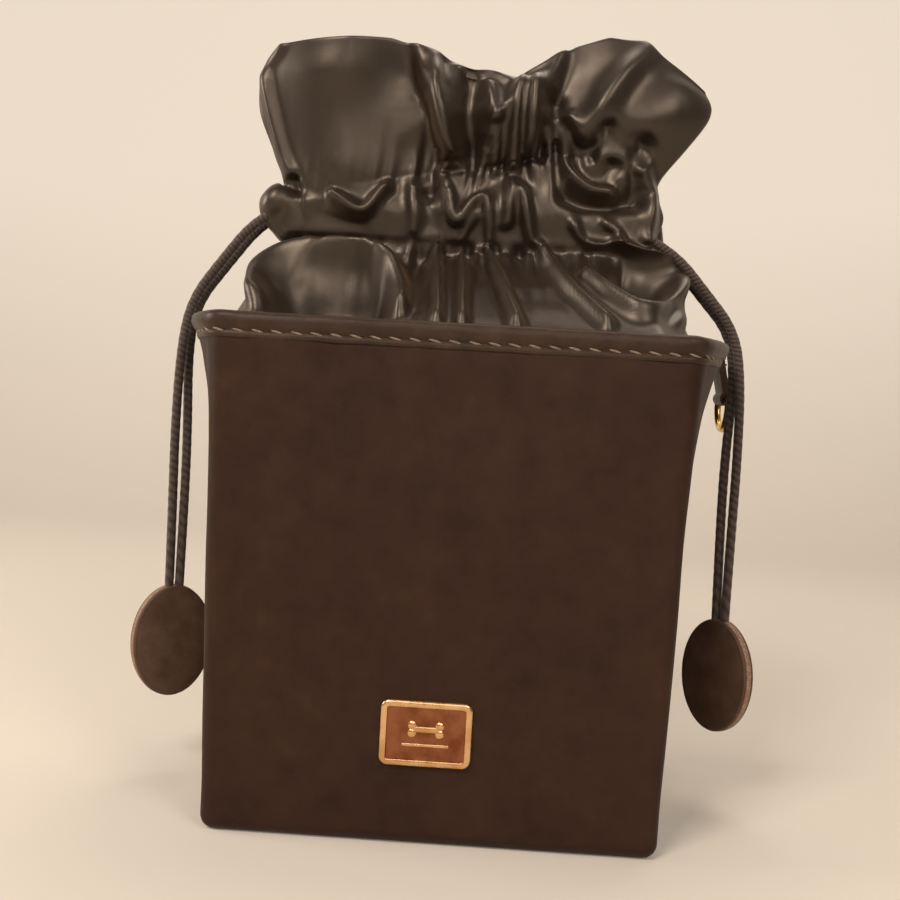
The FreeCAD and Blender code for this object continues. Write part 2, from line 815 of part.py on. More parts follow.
def make_tab(side, turn):
    """Two leather ovals over a core; the core's flat top meets the ends of the string."""
    width = size("tab_width")
    tall = size("tab_tall")
    disc = size("tab_disc")
    core = size("tab_core")
    margin = size("tab_core_margin")
    flat = size("tab_flat")
    total = 2 * (disc + gap) + core
    middle = vector(TAB_MIDDLE[side], 0, size("tab_top") - tall / 2 + flat)
    room = Part.makeBox(2 * width, 2 * width, 2 * tall, vector(-width, -width, -2 * tall))
    room.translate(vector(0, 0, tall / 2 - flat))
    pieces = (
        ("tab_front", oval(width, tall, disc, -total / 2)),
        ("tab_core", oval(width - 2 * margin, tall, core, -core / 2)),
        ("tab_back", oval(width, tall, disc, total / 2 - disc)),
    )
    for part_name, shape in pieces:
        trimmed = shape.common(room)
        trimmed.rotate(centre, vector(0, 0, 1), turn)
        trimmed.translate(middle)
        shape_part("%s_%s" % (side, part_name), trimmed)


make_tab("right", size("right_tab_turn"))
make_tab("left", size("left_tab_turn"))

# ---------------------------------------------------------------- check and write

document.recompute()
for item in document.Objects:
    if "Invalid" in item.State or "Error" in item.State:
        raise RuntimeError("%s did not build: %s" % (item.Label, item.State))
for item in parts:
    if item.Shape.isNull() or not item.Shape.isValid():
        raise RuntimeError("%s has no valid shape" % item.Label)

print("collar hinge y %.3f z %.3f" % (hinge_y, hinge_z))
print("ring bar x %.3f y %.3f z %.3f" % (bar_x, strap_behind, bar_z))
os.makedirs("parts", exist_ok=True)
for item in parts:
    item.Shape.exportStep("parts/%s.step" % item.Label)
    box = item.Shape.BoundBox
    print("%-26s %d solid  x %7.2f %7.2f  y %7.2f %7.2f  z %7.2f %7.2f" % (
        item.Label, len(item.Shape.Solids), box.XMin, box.XMax, box.YMin, box.YMax,
        box.ZMin, box.ZMax,
    ))
print(len(parts), "parts")
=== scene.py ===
# %% [markdown]
# # A treat pouch
# The pouch is a leather box with a cloth collar, closed by two strings that end in leather tabs.
# The imported construction model is loaded first. It says where everything is, and each piece
# modelled here is laid over it; some pieces ride on one of its bodies.

# %% Load the frame
import math

import bmesh
import bpy
import numpy as np
from mathutils import Matrix, Vector, noise


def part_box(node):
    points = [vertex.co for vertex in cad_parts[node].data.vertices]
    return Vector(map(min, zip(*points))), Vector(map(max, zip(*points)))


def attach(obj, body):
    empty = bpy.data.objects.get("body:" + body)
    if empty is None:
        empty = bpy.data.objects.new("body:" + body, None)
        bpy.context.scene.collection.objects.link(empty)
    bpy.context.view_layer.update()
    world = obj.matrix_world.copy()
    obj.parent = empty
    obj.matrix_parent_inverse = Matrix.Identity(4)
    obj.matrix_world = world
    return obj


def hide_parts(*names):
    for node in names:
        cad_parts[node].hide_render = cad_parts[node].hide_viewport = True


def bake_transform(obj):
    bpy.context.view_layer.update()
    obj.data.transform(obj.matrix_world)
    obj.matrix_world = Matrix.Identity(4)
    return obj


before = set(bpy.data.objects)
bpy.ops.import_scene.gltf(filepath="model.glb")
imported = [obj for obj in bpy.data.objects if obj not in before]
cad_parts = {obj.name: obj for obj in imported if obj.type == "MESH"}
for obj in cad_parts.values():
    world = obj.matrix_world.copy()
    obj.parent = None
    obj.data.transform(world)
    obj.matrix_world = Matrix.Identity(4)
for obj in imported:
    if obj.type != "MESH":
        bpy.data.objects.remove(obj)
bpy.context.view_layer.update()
scene = bpy.context.scene
MM = 0.001

# %% [markdown]
# The camera stands close in front of the pouch, a little under its rim, and is rolled a few
# degrees because the pouch leans. Its turn is built from three plain rotations: first the
# heading, then the tilt, then the roll about its own line of sight.

# %% Camera
CAMERA_AT = Vector((0.0073, -0.2844, 0.1005))
HEADING, TILT, ROLL = (math.radians(a) for a in (1.66, -2.52, -3.33))
LENS, SENSOR_WIDTH = 44, 36                      # mm

turned = (Matrix.Rotation(HEADING, 3, "Z") @ Matrix.Rotation(TILT, 3, "X")
          @ Matrix.Rotation(ROLL, 3, "Y"))
right, forward, up = turned.col
camera = bpy.data.objects.new("camera", bpy.data.cameras.new("camera"))
scene.collection.objects.link(camera)
camera.data.lens, camera.data.sensor_width = LENS, SENSOR_WIDTH
facing = Matrix((right, up, -forward)).transposed().to_4x4()
camera.matrix_world = Matrix.Translation(CAMERA_AT) @ facing
scene.camera = camera
print("camera at, mm:", [round(x / MM, 1) for x in CAMERA_AT])

# %% [markdown]
# Two small helpers serve every material. One turns a colour as an artist writes it into the
# linear numbers that a shader wants. The other adds a node, sets it and links its inputs.

# %% Material helpers
def linear(hex_colour):
    """An sRGB hex colour as linear red, green, blue and alpha."""
    shares = [int(hex_colour[i:i + 2], 16) / 255 for i in (1, 3, 5)]
    return [s / 12.92 if s <= 0.04045 else ((s + 0.055) / 1.055) ** 2.4 for s in shares] + [1.0]


def add(tree, kind, inputs=None, **settings):
    """A new shader node with its settings, and its inputs set or linked."""
    node = tree.nodes.new("ShaderNode" + kind)
    for name, value in settings.items():
        setattr(node, name, value)
    for name, value in (inputs or {}).items():
        if isinstance(value, bpy.types.NodeSocket):
            tree.links.new(value, node.inputs[name])
        else:
            node.inputs[name].default_value = value
    return node


def new_material(name):
    """An empty material, its node tree, places on the object, and where its shader goes."""
    material = bpy.data.materials.new(name)
    material.use_nodes = True
    tree = material.node_tree
    tree.nodes.clear()
    surface = tree.nodes.new("ShaderNodeOutputMaterial").inputs["Surface"]
    return material, tree, add(tree, "TexCoord").outputs["Object"], surface


def ramp(tree, share, stops):
    """A colour ramp over share, with stops given as (place, hex colour)."""
    node = add(tree, "ValToRGB", {"Fac": share})
    elements = node.color_ramp.elements
    while len(elements) < len(stops):
        elements.new(0.5)
    for element, (place, colour) in zip(elements, stops):
        element.position = place
        element.color = linear(colour)
    return node.outputs["Color"]


# %% [markdown]
# The box is smooth-grained leather: full-grain cowhide, dyed dark brown and polished by hand
# wear. A grain of about 1 mm pebbles comes from Voronoi cells, with creases between them and
# broad patches where the dye took unevenly. Roughness follows the finer scuffs, so that the
# shine breaks up as it does on real hide. The finish is matt, so the specular level is low.

# %% Leather
def leather_material(name, dark, light, grain_mm, roughness):
    material, tree, place, surface = new_material(name)
    patches = add(tree, "TexNoise", {"Vector": place, "Scale": 1 / (28 * MM), "Detail": 4.0,
                                     "Roughness": 0.6}).outputs["Fac"]
    pebbles = add(tree, "TexVoronoi", {"Vector": place, "Scale": 1 / (grain_mm * MM),
                                       "Randomness": 1.0}, feature="SMOOTH_F1").outputs["Distance"]
    fibres = add(tree, "TexNoise", {"Vector": place, "Scale": 1 / (0.5 * MM), "Detail": 3.0}
                 ).outputs["Fac"]
    scuffs = add(tree, "TexNoise", {"Vector": place, "Scale": 1 / (7 * MM), "Detail": 6.0,
                                    "Roughness": 0.7}).outputs["Fac"]
    tone = add(tree, "Math", {0: patches, 1: scuffs}, operation="MULTIPLY").outputs[0]
    colour = ramp(tree, tone, [(0.12, dark), (0.42, light)])
    height = add(tree, "Math", {0: pebbles, 1: 0.75, 2: fibres},
                 operation="MULTIPLY_ADD").outputs[0]
    bump = add(tree, "Bump", {"Height": height, "Strength": 0.35, "Distance": 0.12 * MM}).outputs[0]
    shine = add(tree, "MapRange", {"Value": scuffs, "From Min": 0.3, "From Max": 0.7,
                                   "To Min": roughness - 0.07, "To Max": roughness + 0.1}
                ).outputs["Result"]
    shader = add(tree, "BsdfPrincipled", {"Base Color": colour, "Roughness": shine, "Normal": bump,
                                          "Specular IOR Level": 0.16})
    tree.links.new(shader.outputs[0], surface)
    return material


box_leather = leather_material("full_grain_cowhide", "#2a1910", "#382318", 1.1, 0.5)
# The rim's colours are lighter than the box's: a painted sheen for the light that its roll reflects
# from above.
rim_leather = leather_material("rim_cowhide_painted_sheen", "#30231b", "#443329", 0.9, 0.4)
tab_leather = leather_material("tab_calfskin", "#4b382c", "#634d3f", 0.8, 0.42)
print("leathers:", box_leather.name, rim_leather.name, tab_leather.name)

# %% [markdown]
# The collar is polyester satin. Its long floating threads make it smooth and shiny, so its look
# comes almost wholly from how folds turn to the light. Fine crosswise threads, drawn 0.8 mm
# long because real ones are too fine to show, and a soft crush of 3.5 mm keep the shine from
# looking like plastic. Satin throws warm light back, so its highlights have a little tint.

# %% Satin
def satin_material(name, dark, light):
    material, tree, place, surface = new_material(name)
    clouds = add(tree, "TexNoise", {"Vector": place, "Scale": 1 / (22 * MM), "Detail": 3.0}
                 ).outputs["Fac"]
    colour = ramp(tree, clouds, [(0.3, dark), (0.7, light)])
    threads = add(tree, "TexNoise", {"Vector": add(tree, "Mapping", {
        "Vector": place, "Scale": (1.0, 1.0, 5.0)}).outputs[0], "Scale": 1 / (0.8 * MM),
        "Detail": 2.0}).outputs["Fac"]
    crush = add(tree, "TexNoise", {"Vector": place, "Scale": 1 / (3.5 * MM), "Detail": 3.0,
                                   "Roughness": 0.55}).outputs["Fac"]
    height = add(tree, "Math", {0: crush, 1: 2.0, 2: threads}, operation="MULTIPLY_ADD").outputs[0]
    bump = add(tree, "Bump", {"Height": height, "Strength": 0.2, "Distance": 0.1 * MM}).outputs[0]
    shader = add(tree, "BsdfPrincipled", {
        "Base Color": colour, "Roughness": 0.4, "Normal": bump, "Specular IOR Level": 0.8,
        "Specular Tint": linear("#f6e3d1"), "Sheen Weight": 0.2, "Sheen Roughness": 0.4,
        "Sheen Tint": linear("#c4a080")})
    tree.links.new(shader.outputs[0], surface)
    return material


collar_satin = satin_material("polyester_satin", "#150e09", "#1f1610")

# %% [markdown]
# Strings are soft twisted cord of brown cotton: the ply shows as slanting ridges 1.6 mm apart.
# The cord is rough and matt. Its texture runs along its own UV map, so it follows each bend.

# %% String cotton
STRING_PLY = 1.6 * MM
WAVE_PERIOD = math.pi / 5      # of a wave texture at scale 1


def string_material(name, dark, light):
    material, tree, place, surface = new_material(name)
    along = add(tree, "UVMap", uv_map="along").outputs[0]
    plies = add(tree, "TexWave", {"Vector": along, "Scale": 1.0, "Distortion": 1.2, "Detail": 2.0,
                                  "Detail Scale": 2.0}, bands_direction="DIAGONAL").outputs["Fac"]
    fluff = add(tree, "TexNoise", {"Vector": place, "Scale": 1 / (0.6 * MM), "Detail": 3.0}
                ).outputs["Fac"]
    height = add(tree, "Math", {0: plies, 1: 0.8, 2: fluff}, operation="MULTIPLY_ADD").outputs[0]
    colour = ramp(tree, plies, [(0.1, dark), (0.8, light)])
    bump = add(tree, "Bump", {"Height": height, "Strength": 0.7, "Distance": 0.3 * MM}).outputs[0]
    shader = add(tree, "BsdfPrincipled", {"Base Color": colour, "Roughness": 0.75, "Normal": bump,
                                          "Sheen Weight": 0.3})
    tree.links.new(shader.outputs[0], surface)
    return material


string_cotton = string_material("twisted_cotton_cord", "#2b1e17", "#4a382d")

# %% [markdown]
# The metals: stamped and polished brass for the name plate's border and the ring, a darker
# coppery brass in the plate's recess where polish doesn't reach, and steel for the hidden strip
# behind the plate. A metal's colour is its reflection, so metallic is 1 and the IOR stays as it is.

# %% Metals
def metal_material(name, colour, worn, roughness):
    material, tree, place, surface = new_material(name)
    wear = add(tree, "TexNoise", {"Vector": place, "Scale": 1 / (4 * MM), "Detail": 5.0}
               ).outputs["Fac"]
    grit = add(tree, "TexNoise", {"Vector": place, "Scale": 1 / (0.5 * MM), "Detail": 2.0}
               ).outputs["Fac"]
    bump = add(tree, "Bump", {"Height": grit, "Strength": 0.15, "Distance": 0.05 * MM}).outputs[0]
    shine = add(tree, "MapRange", {"Value": wear, "To Min": roughness - 0.06,
                                   "To Max": roughness + 0.08}).outputs["Result"]
    shader = add(tree, "BsdfPrincipled", {
        "Base Color": ramp(tree, wear, [(0.35, worn), (0.6, colour)]), "Metallic": 1.0,
        "Roughness": shine, "Normal": bump})
    tree.links.new(shader.outputs[0], surface)
    return material


plate_brass = metal_material("polished_brass_plate", "#e9bd8c", "#d3a06c", 0.26)
recess_brass = metal_material("copper_toned_brass", "#9c6344", "#7f4a30", 0.38)
ring_brass = metal_material("cast_brass_ring", "#e8c070", "#c2924a", 0.24)
steel = metal_material("zinc_plated_steel", "#a8a8a6", "#8d8d8c", 0.4)

# %% [markdown]
# What is left is plain: waxed sewing thread, a cotton lining, grey board and the paler edge of the
# tabs. One function makes them, from two colours, a roughness and the size of the surface's own
# grain.

# %% Plain stuffs
def plain_material(name, dark, light, roughness, grain_mm):
    material, tree, place, surface = new_material(name)
    grain = add(tree, "TexNoise", {"Vector": place, "Scale": 1 / (grain_mm * MM), "Detail": 4.0}
                ).outputs["Fac"]
    bump = add(tree, "Bump", {"Height": grain, "Strength": 0.5, "Distance": 0.1 * MM}).outputs[0]
    shader = add(tree, "BsdfPrincipled", {
        "Base Color": ramp(tree, grain, [(0.35, dark), (0.65, light)]), "Roughness": roughness,
        "Normal": bump})
    tree.links.new(shader.outputs[0], surface)
    return material


stitch_thread = plain_material("waxed_polyester_thread", "#5e4c3e", "#85705e", 0.5, 0.4)
lining_cotton = plain_material("woven_cotton_lining", "#2c2019", "#3d2e24", 0.9, 0.7)
grey_board = plain_material("pressed_board", "#8a7a66", "#a08f79", 0.9, 1.2)
# The tabs' edge band is given paler colours than their leather faces.
pale_tab_edge = plain_material("pale_tab_edge_leather", "#6d5342", "#9a7a62", 0.55, 0.6)
print("materials:", len(bpy.data.materials))

# %% [markdown]
# Every finished piece goes through one function: it turns the working mesh into an object at the
# origin, gives it its material, and shades it smooth except at real edges.

# %% Finish a piece
def finish_piece(bm, name, material, sharp_degrees=40):
    """An object made from a working mesh, smooth apart from edges sharper than that."""
    mesh = bpy.data.meshes.new(name)
    bm.to_mesh(mesh)
    bm.free()
    mesh.materials.append(material)
    mesh.shade_smooth()
    mesh.set_sharp_from_angle(angle=math.radians(sharp_degrees))
    piece = bpy.data.objects.new(name, mesh)
    scene.collection.objects.link(piece)
    return piece


# %% [markdown]
# Most of this pouch is made of closed rings: the walls, the rim, the collar, the strings and the
# edges of the tabs. One function skins them all. It starts with a circle, extrudes it ring by
# ring, and gives each vertex its place. Every vertex carries the number of its place round the
# ring, and the extrusion copies that number, so no list of faces is ever needed.

# %% Skin a stack of rings
def skin(rings, capped=False):
    """A skin over closed rings of points, that knows each vertex's turn and level."""
    bm = bmesh.new()
    for name in ("turn", "level"):
        bm.verts.layers.int.new(name)
    turn, level = bm.verts.layers.int["turn"], bm.verts.layers.int["level"]
    ring = bmesh.ops.create_circle(bm, segments=len(rings[0]), radius=1)["verts"]
    for number, vert in enumerate(ring):
        vert[turn] = number
    edges = bm.edges[:]
    for height, places in enumerate(rings):
        if height:
            grown = bmesh.ops.extrude_edge_only(bm, edges=edges)["geom"]
            ring = [g for g in grown if isinstance(g, bmesh.types.BMVert)]
            fresh = set(ring)
            edges = [g for g in grown
                     if isinstance(g, bmesh.types.BMEdge) and fresh.issuperset(g.verts)]
        for vert in ring:
            vert[level] = height
            vert.co = places[vert[turn]]
    if capped:
        bmesh.ops.holes_fill(bm, edges=[e for e in bm.edges if e.is_boundary], sides=0)
    bmesh.ops.recalc_face_normals(bm, faces=bm.faces)
    return bm


# %% [markdown]
# ## The strings
# Each side has the two ends of one string, hanging from the gathered neck over the rim to a
# tab. A string is limp, so it goes over the rim in one soft curve and hangs straight below it.
# A smooth NURBS curve is drawn through a few points first, and a mesh tube then follows it.

# %% String routes
STRING_DIAMETER = 2.4 * MM
STRING_TWIST = 9 * MM
STRING_ROUTES = {
    "right_string_front": [
        (47.5, -2.9, 143.6), (53.4, -2.7, 140.8), (61.4, -2.1, 132.0), (69.7, -1.6, 122.4),
        (72.1, -1.4, 110.0), (72.6, -1.3, 89.5), (72.4, -1.1, 69.0), (72.3, -0.9, 48.0)],
    "right_string_back": [
        (47.5, 2.9, 143.6), (53.0, 2.7, 140.6), (60.8, 2.2, 131.4), (69.2, 1.7, 122.0),
        (71.0, 1.5, 109.6), (70.0, 1.4, 89.0), (70.1, 1.2, 68.6), (70.5, 0.9, 48.0)],
    "left_string_front": [
        (-47.5, -2.9, 147.2), (-53.8, -2.7, 144.0), (-62.0, -2.1, 133.6), (-69.7, -1.7, 122.8),
        (-71.9, -1.5, 110.0), (-72.5, -1.3, 89.0), (-72.3, -0.9, 68.4), (-72.3, -0.6, 48.0)],
    "left_string_back": [
        (-47.5, 2.9, 147.2), (-53.4, 2.7, 143.8), (-61.4, 2.2, 133.0), (-69.1, 1.8, 122.3),
        (-70.8, 1.6, 109.6), (-69.9, 1.4, 88.6), (-69.8, 1.0, 68.2), (-70.0, 0.6, 48.0)],
}


def smooth_line(points, per_span=26):
    """Points along the smooth curve that those control points in metres give."""
    curve = bpy.data.curves.new("route", "CURVE")
    curve.dimensions = "3D"
    curve.resolution_u = per_span
    spline = curve.splines.new("NURBS")
    spline.points.add(len(points) - 1)
    for point, at in zip(spline.points, points):
        point.co = (*at, 1.0)
    spline.order_u = 3
    spline.use_endpoint_u = True
    holder = bpy.data.objects.new("route", curve)
    mesh = bpy.data.meshes.new_from_object(holder)
    line = [v.co.copy() for v in mesh.vertices]
    bpy.data.meshes.remove(mesh)
    bpy.data.curves.remove(curve)
    return line


def tube(line, radius, sides=12):
    """A closed tube along a line: three twisted plies, and a UV map that runs along it."""
    heading = (line[1] - line[0]).normalized()
    facing = heading.to_track_quat("Z", "Y")
    rings, travelled = [], 0.0
    for before, at, after in zip(line[:1] + line, line, line[1:] + [line[-1] * 2 - line[-2]]):
        travelled += (at - before).length
        ahead = (after - at).normalized()
        facing = heading.rotation_difference(ahead) @ facing
        heading = ahead
        ring = []
        for side in range(sides):
            angle = 2 * math.pi * side / sides
            lobe = abs(math.cos(1.5 * angle - math.pi * travelled / (STRING_TWIST / 3)))
            reach = radius * (0.94 + 0.08 * lobe)
            spoke = Vector((math.cos(angle), math.sin(angle), 0)) * reach
            ring.append(at + facing @ spoke)
        rings.append(ring)
    bm = skin(rings, capped=True)
    along = bm.loops.layers.uv.new("along")
    turn, level = bm.verts.layers.int["turn"], bm.verts.layers.int["level"]
    step = travelled / (len(line) - 1) / STRING_PLY * WAVE_PERIOD
    for face in bm.faces:
        wraps = {0, sides - 1} <= {v[turn] for v in face.verts}
        for loop in face.loops:
            number = loop.vert[turn] + (sides if wraps and loop.vert[turn] == 0 else 0)
            loop[along].uv = (number / sides * 2 * WAVE_PERIOD, loop.vert[level] * step)
    return bm


strings = {}
for name, route in STRING_ROUTES.items():
    line = smooth_line([Vector(p) * MM for p in route])
    strings[name] = (finish_piece(tube(line, STRING_DIAMETER / 2), name, string_cotton),
                     line)
    print(name, "length, mm:", round(sum((b - a).length for a, b in zip(line, line[1:])) / MM, 1))

# %% [markdown]
# ## The leather box
# The box is one leather shell: a flat bottom with a turned edge, a straight front and back, and
# side walls that bow out at the rim, where hands reach in. It could be five plates, but leather
# is wrapped round its boards, so the corners are soft and the grain runs on. Its plan outline
# is worked out for any height, and the shell is a stack of those outlines.

# %% The outline of the box
BASE_HALF, RIM_HALF, DEPTH_HALF, BOX_TALL = 52.0, 54.5, 41.0, 118.0
# How far the side walls bow out, in mm, by share of the height.
BULGE_LEVELS = (0.0, 0.34, 0.6, 0.75, 0.85, 0.93, 1.0)
BULGE = [1.0 + 11.5 * level ** 4.6 for level in BULGE_LEVELS]


def outline(z, inset=0.0, spacing=1.9, corner=3.4):
    """Plan points in mm round the box at height z, moved in by inset, from the right middle."""
    half = BASE_HALF + (RIM_HALF - BASE_HALF) * z / BOX_TALL - inset
    reach = DEPTH_HALF - inset
    rise = float(np.interp(z / BOX_TALL, BULGE_LEVELS, BULGE))
    radius = (reach ** 2 + rise ** 2) / (2 * rise)
    corner = max(corner - inset, 1.2)

    def wall(y):
        return half + rise - radius + math.sqrt(radius ** 2 - y ** 2)

    across, deep = round(2 * RIM_HALF / spacing), round(DEPTH_HALF / spacing)
    side = [(wall(y), y) for y in np.linspace(0, reach - corner, deep)]
    front = [(x, reach) for x in np.linspace(half - corner, corner - half, across)]
    bend = []
    for share in np.linspace(0, 1, 7)[1:-1]:
        a, b, c = (1 - share) ** 2, 2 * share * (1 - share), share ** 2
        bend.append((a * side[-1][0] + b * half + c * front[0][0],
                     a * side[-1][1] + (b + c) * reach))
    quarter = side + bend                       # right middle to the back right corner
    left = [(-x, y) for x, y in reversed(quarter)]
    back = quarter + front + left[:-1]
    return np.array(back + [(-x, -y) for x, y in back])


def box_rings(levels, **shape):
    """Rings of points in metres for (height, inset) pairs in mm."""
    return [[Vector((x, y, z)) * MM for x, y in outline(z, inset, **shape)] for z, inset in levels]


TURN_RADIUS, HIDE_THICKNESS = 3.4, 2.0           # mm
SWELL, PUCKER = 0.32 * MM, 0.35 * MM
levels = [(0.0, TURN_RADIUS + 2.5)]
for angle in np.linspace(0, math.pi / 2, 9):
    levels.append((TURN_RADIUS * (1 - math.cos(angle)), TURN_RADIUS * (1 - math.sin(angle))))
levels += [(z, 0.0) for z in np.linspace(6, 116.4, 60)]

shell = skin(box_rings(levels))
level = shell.verts.layers.int["level"]
bmesh.ops.holes_fill(shell, edges=[e for e in shell.edges if e.is_boundary
                                   and e.verts[0][level] == 0], sides=0)
bmesh.ops.recalc_face_normals(shell, faces=shell.faces)
shell.normal_update()
for vert in shell.verts:
    # Hide on board is never quite flat: it dips and swells by a few tenths of a millimetre.
    x, y, z = vert.co
    swell = noise.noise(Vector((x, y, z)) / (26 * MM)) * SWELL * min(1.0, z / (12 * MM))
    near_seam = math.exp(-((z / MM - 108) / 5) ** 2)
    pucker = noise.noise(Vector((x, y, 0)) / (9 * MM)) * PUCKER * near_seam
    vert.co += vert.normal * (swell + pucker)
box = finish_piece(shell, "leather_box", box_leather, 50)
wall_thickness = box.modifiers.new("hide", "SOLIDIFY")
wall_thickness.thickness = HIDE_THICKNESS * MM
wall_thickness.offset = -1
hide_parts("base_panel", "front_panel", "back_panel", "left_side_panel", "right_side_panel")
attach(box, "pouch")
print("box, mm:", [round(x / MM, 1) for x in box.dimensions], "faces:", len(box.data.polygons))

# %% [markdown]
# A strip of softer leather is folded over the rim and sewn through just below its roll. The
# roll stands proud, then the seam pulls a groove, and the strip ends in a thin lip. The strip's
# cross-section is a list of heights and insets, carried round the outline.

# %% The rolled rim
STITCH_Z = 113.6
RIM_PROFILE = [
    (111.9, 0.6), (111.9, -0.05), (112.2, -0.3), (112.8, -0.4), (113.2, -0.25), (STITCH_Z, 0.0),
    (114.0, -0.25), (114.5, -0.5), (115.2, -0.68), (116.0, -0.72), (116.8, -0.6), (117.4, -0.35),
    (117.8, 0.1), (118.0, 0.7), (118.05, 1.5), (118.0, 2.4), (117.9, 3.4), (117.5, 4.3),
    (116.8, 4.8), (115.8, 4.9), (114.0, 4.7), (112.8, 4.3), (112.4, 3.0), (111.9, 0.6)]

rim = skin(box_rings(RIM_PROFILE, spacing=1.05))
bmesh.ops.remove_doubles(rim, verts=rim.verts, dist=0.01 * MM)
bmesh.ops.recalc_face_normals(rim, faces=rim.faces)
rim.normal_update()
for vert in rim.verts:
    x, y, z = vert.co
    vert.co += vert.normal * 0.16 * MM * noise.noise(Vector((x, y, z * 2)) / (5 * MM))
rolled_rim = finish_piece(rim, "rolled_rim", rim_leather, 60)
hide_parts("rim_binding")
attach(rolled_rim, "pouch")
print("rim faces:", len(rolled_rim.data.polygons))

# %% [markdown]
# The stitches lie in that groove, one every 4.4 mm, each 3 mm long and slanted, as a lockstitch
# pulls them. One stitch is a stretched ball with few faces, and it is repeated round the rim.

# %% The rim's stitches
STITCH_PITCH, STITCH_LONG, STITCH_THICK, STITCH_SLANT = 4.4, 3.1, 0.62, math.radians(13)

seam = np.array(outline(STITCH_Z, -0.12, spacing=0.5))
closed = np.vstack([seam, seam[:1]])
along = np.concatenate([[0], np.cumsum(np.linalg.norm(np.diff(closed, axis=0), axis=1))])
count = round(along[-1] / STITCH_PITCH)
stitches = bmesh.new()
for number in range(count):
    here = number * along[-1] / count
    at, ahead = (Vector([float(np.interp((here + step) % along[-1], along, closed[:, k]))
                         for k in (0, 1)] + [STITCH_Z]) for step in (0.0, 0.4))
    tangent = (ahead - at).normalized()
    outward = Vector((tangent.y, -tangent.x, 0))
    frame_of_stitch = Matrix((tangent, outward, Vector((0, 0, 1)))).transposed()
    slanted = frame_of_stitch @ Matrix.Rotation(STITCH_SLANT, 3, "Y")
    shape = Matrix.Diagonal((STITCH_LONG / 2, STITCH_THICK / 2, STITCH_THICK / 2)) * MM
    bmesh.ops.create_uvsphere(stitches, u_segments=8, v_segments=6, radius=1,
                              matrix=Matrix.Translation(at * MM) @ (slanted @ shape).to_4x4())
rim_stitches = finish_piece(stitches, "rim_stitches", stitch_thread, 180)
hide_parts("rim_thread")
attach(rim_stitches, "pouch")
print("rim stitches:", count)

# %% [markdown]
# ## The cloth collar
# A tube of satin is sewn inside the rim. It slopes in to a gathered neck, puffs out round the
# two string runs between two lines of stitching, and ends in a loose frill. It could be left to
# a cloth simulation alone, but these folds are the face of the pouch and each has its place. So
# the tube is laid out first as rings through seven key outlines, from the rim to the frill's
# edge, and then its folds are raised and pressed in one by one, as with a sculpting brush.

# %% Key outlines of the collar
COLUMNS = 400                 # round the whole collar
ROWS_PER_SPAN = [22, 26, 16, 18, 26, 30]

turns = np.arange(COLUMNS) / COLUMNS            # from the right seam, round the back
at_front = turns >= 0.5
toward = np.where(at_front, -1.0, 1.0)          # -1 in the front half, 1 in the back half
share = np.where(at_front, 2 * turns - 1, 1 - 2 * turns)       # from the left seam to the right
spread = 2 * (share - 0.72 * np.sin(2 * math.pi * share) / (2 * math.pi)) - 1
roundness = (1 - np.abs(spread) ** 3.2) ** 0.6


def key_outline(left, right, heights, depth):
    """A flat oval ring from x = left to right, with heights by place across, all in mm."""
    x = (left + right) / 2 + spread * (right - left) / 2
    if not isinstance(depth, float):
        depth = np.interp(spread, *zip(*depth))
    places, values = zip(*heights)
    return np.stack([x, toward * depth * roundness, np.interp(spread, places, values)], 1)


def rim_outline(z, inset):
    """The ring just inside the rim, with a point for each column."""
    whole = outline(z, inset, spacing=0.6)
    whole = np.vstack([whole, whole[:1]])
    along = np.concatenate([[0], np.cumsum(np.linalg.norm(np.diff(whole, axis=0), axis=1))])
    x, y = (np.interp(turns * along[-1], along, whole[:, k]) for k in (0, 1))
    return np.stack([x, y, np.full(COLUMNS, z)], 1)


rim_ring = rim_outline(114.4, 5.4)
low_gather = key_outline(-45.0, 47.0, [(-1, 138.5), (-0.6, 137.4), (0, 137.8), (0.5, 139.6),
                                       (1, 140.0)],
                         [(-0.85, 5.6), (-0.3, 5.2), (0.05, 4.2), (0.5, 4.8), (0.85, 5.4)])
skirt_ring = rim_ring * 0.55 + low_gather * 0.45
skirt_ring[:, 1] = rim_ring[:, 1] * 0.4 + low_gather[:, 1] * 0.6
skirt_ring[:, 2] = 114.4 + (low_gather[:, 2] - 114.4) * 0.56
belly = key_outline(-52.3, 50.0, [(-1, 149), (-0.75, 147), (0, 148), (0.5, 151), (1, 150)],
                    [(-0.85, 6.4), (-0.3, 5.8), (0.05, 5.4), (0.5, 6.2), (0.85, 6.8)])
high_gather = key_outline(-46.0, 47.5, [(-1, 153.5), (-0.6, 154.5), (-0.2, 158), (0.1, 160),
                                        (0.45, 164.5), (0.8, 161.5), (1, 158)],
                          [(-0.85, 5.4), (-0.35, 4.8), (0.0, 3.0), (0.4, 3.2), (0.75, 4.2)])
frill = key_outline(-54.5, 59.5, [(-1, 172), (0, 172), (1, 175)],
                    [(-0.6, 6.0), (-0.2, 7.5), (0.15, 7.5), (0.6, 9.5)])
frill_edge = key_outline(-53.0, 58.5, [
    (-1, 184), (-0.93, 187.6), (-0.7, 188.6), (-0.42, 189.6), (-0.26, 188), (-0.03, 184.6),
    (0.14, 183.4), (0.27, 187), (0.4, 191.5), (0.55, 194), (0.71, 193), (0.86, 187.5), (1, 182)],
    [(-0.6, 11.5), (-0.2, 5.0), (0.15, 4.5), (0.6, 3.5)])
frill_edge[~at_front, 2] -= 2.0                  # the back edge hides behind the front one
keys = [rim_ring, skirt_ring, low_gather, belly, high_gather, frill, frill_edge]


def between(before, start, end, after, part):
    """The ring that share of the way from start to end, on a smooth curve through all four."""
    return 0.5 * (2 * start + (end - before) * part
                  + (2 * before - 5 * start + 4 * end - after) * part ** 2
                  + (3 * start - before - 3 * end + after) * part ** 3)


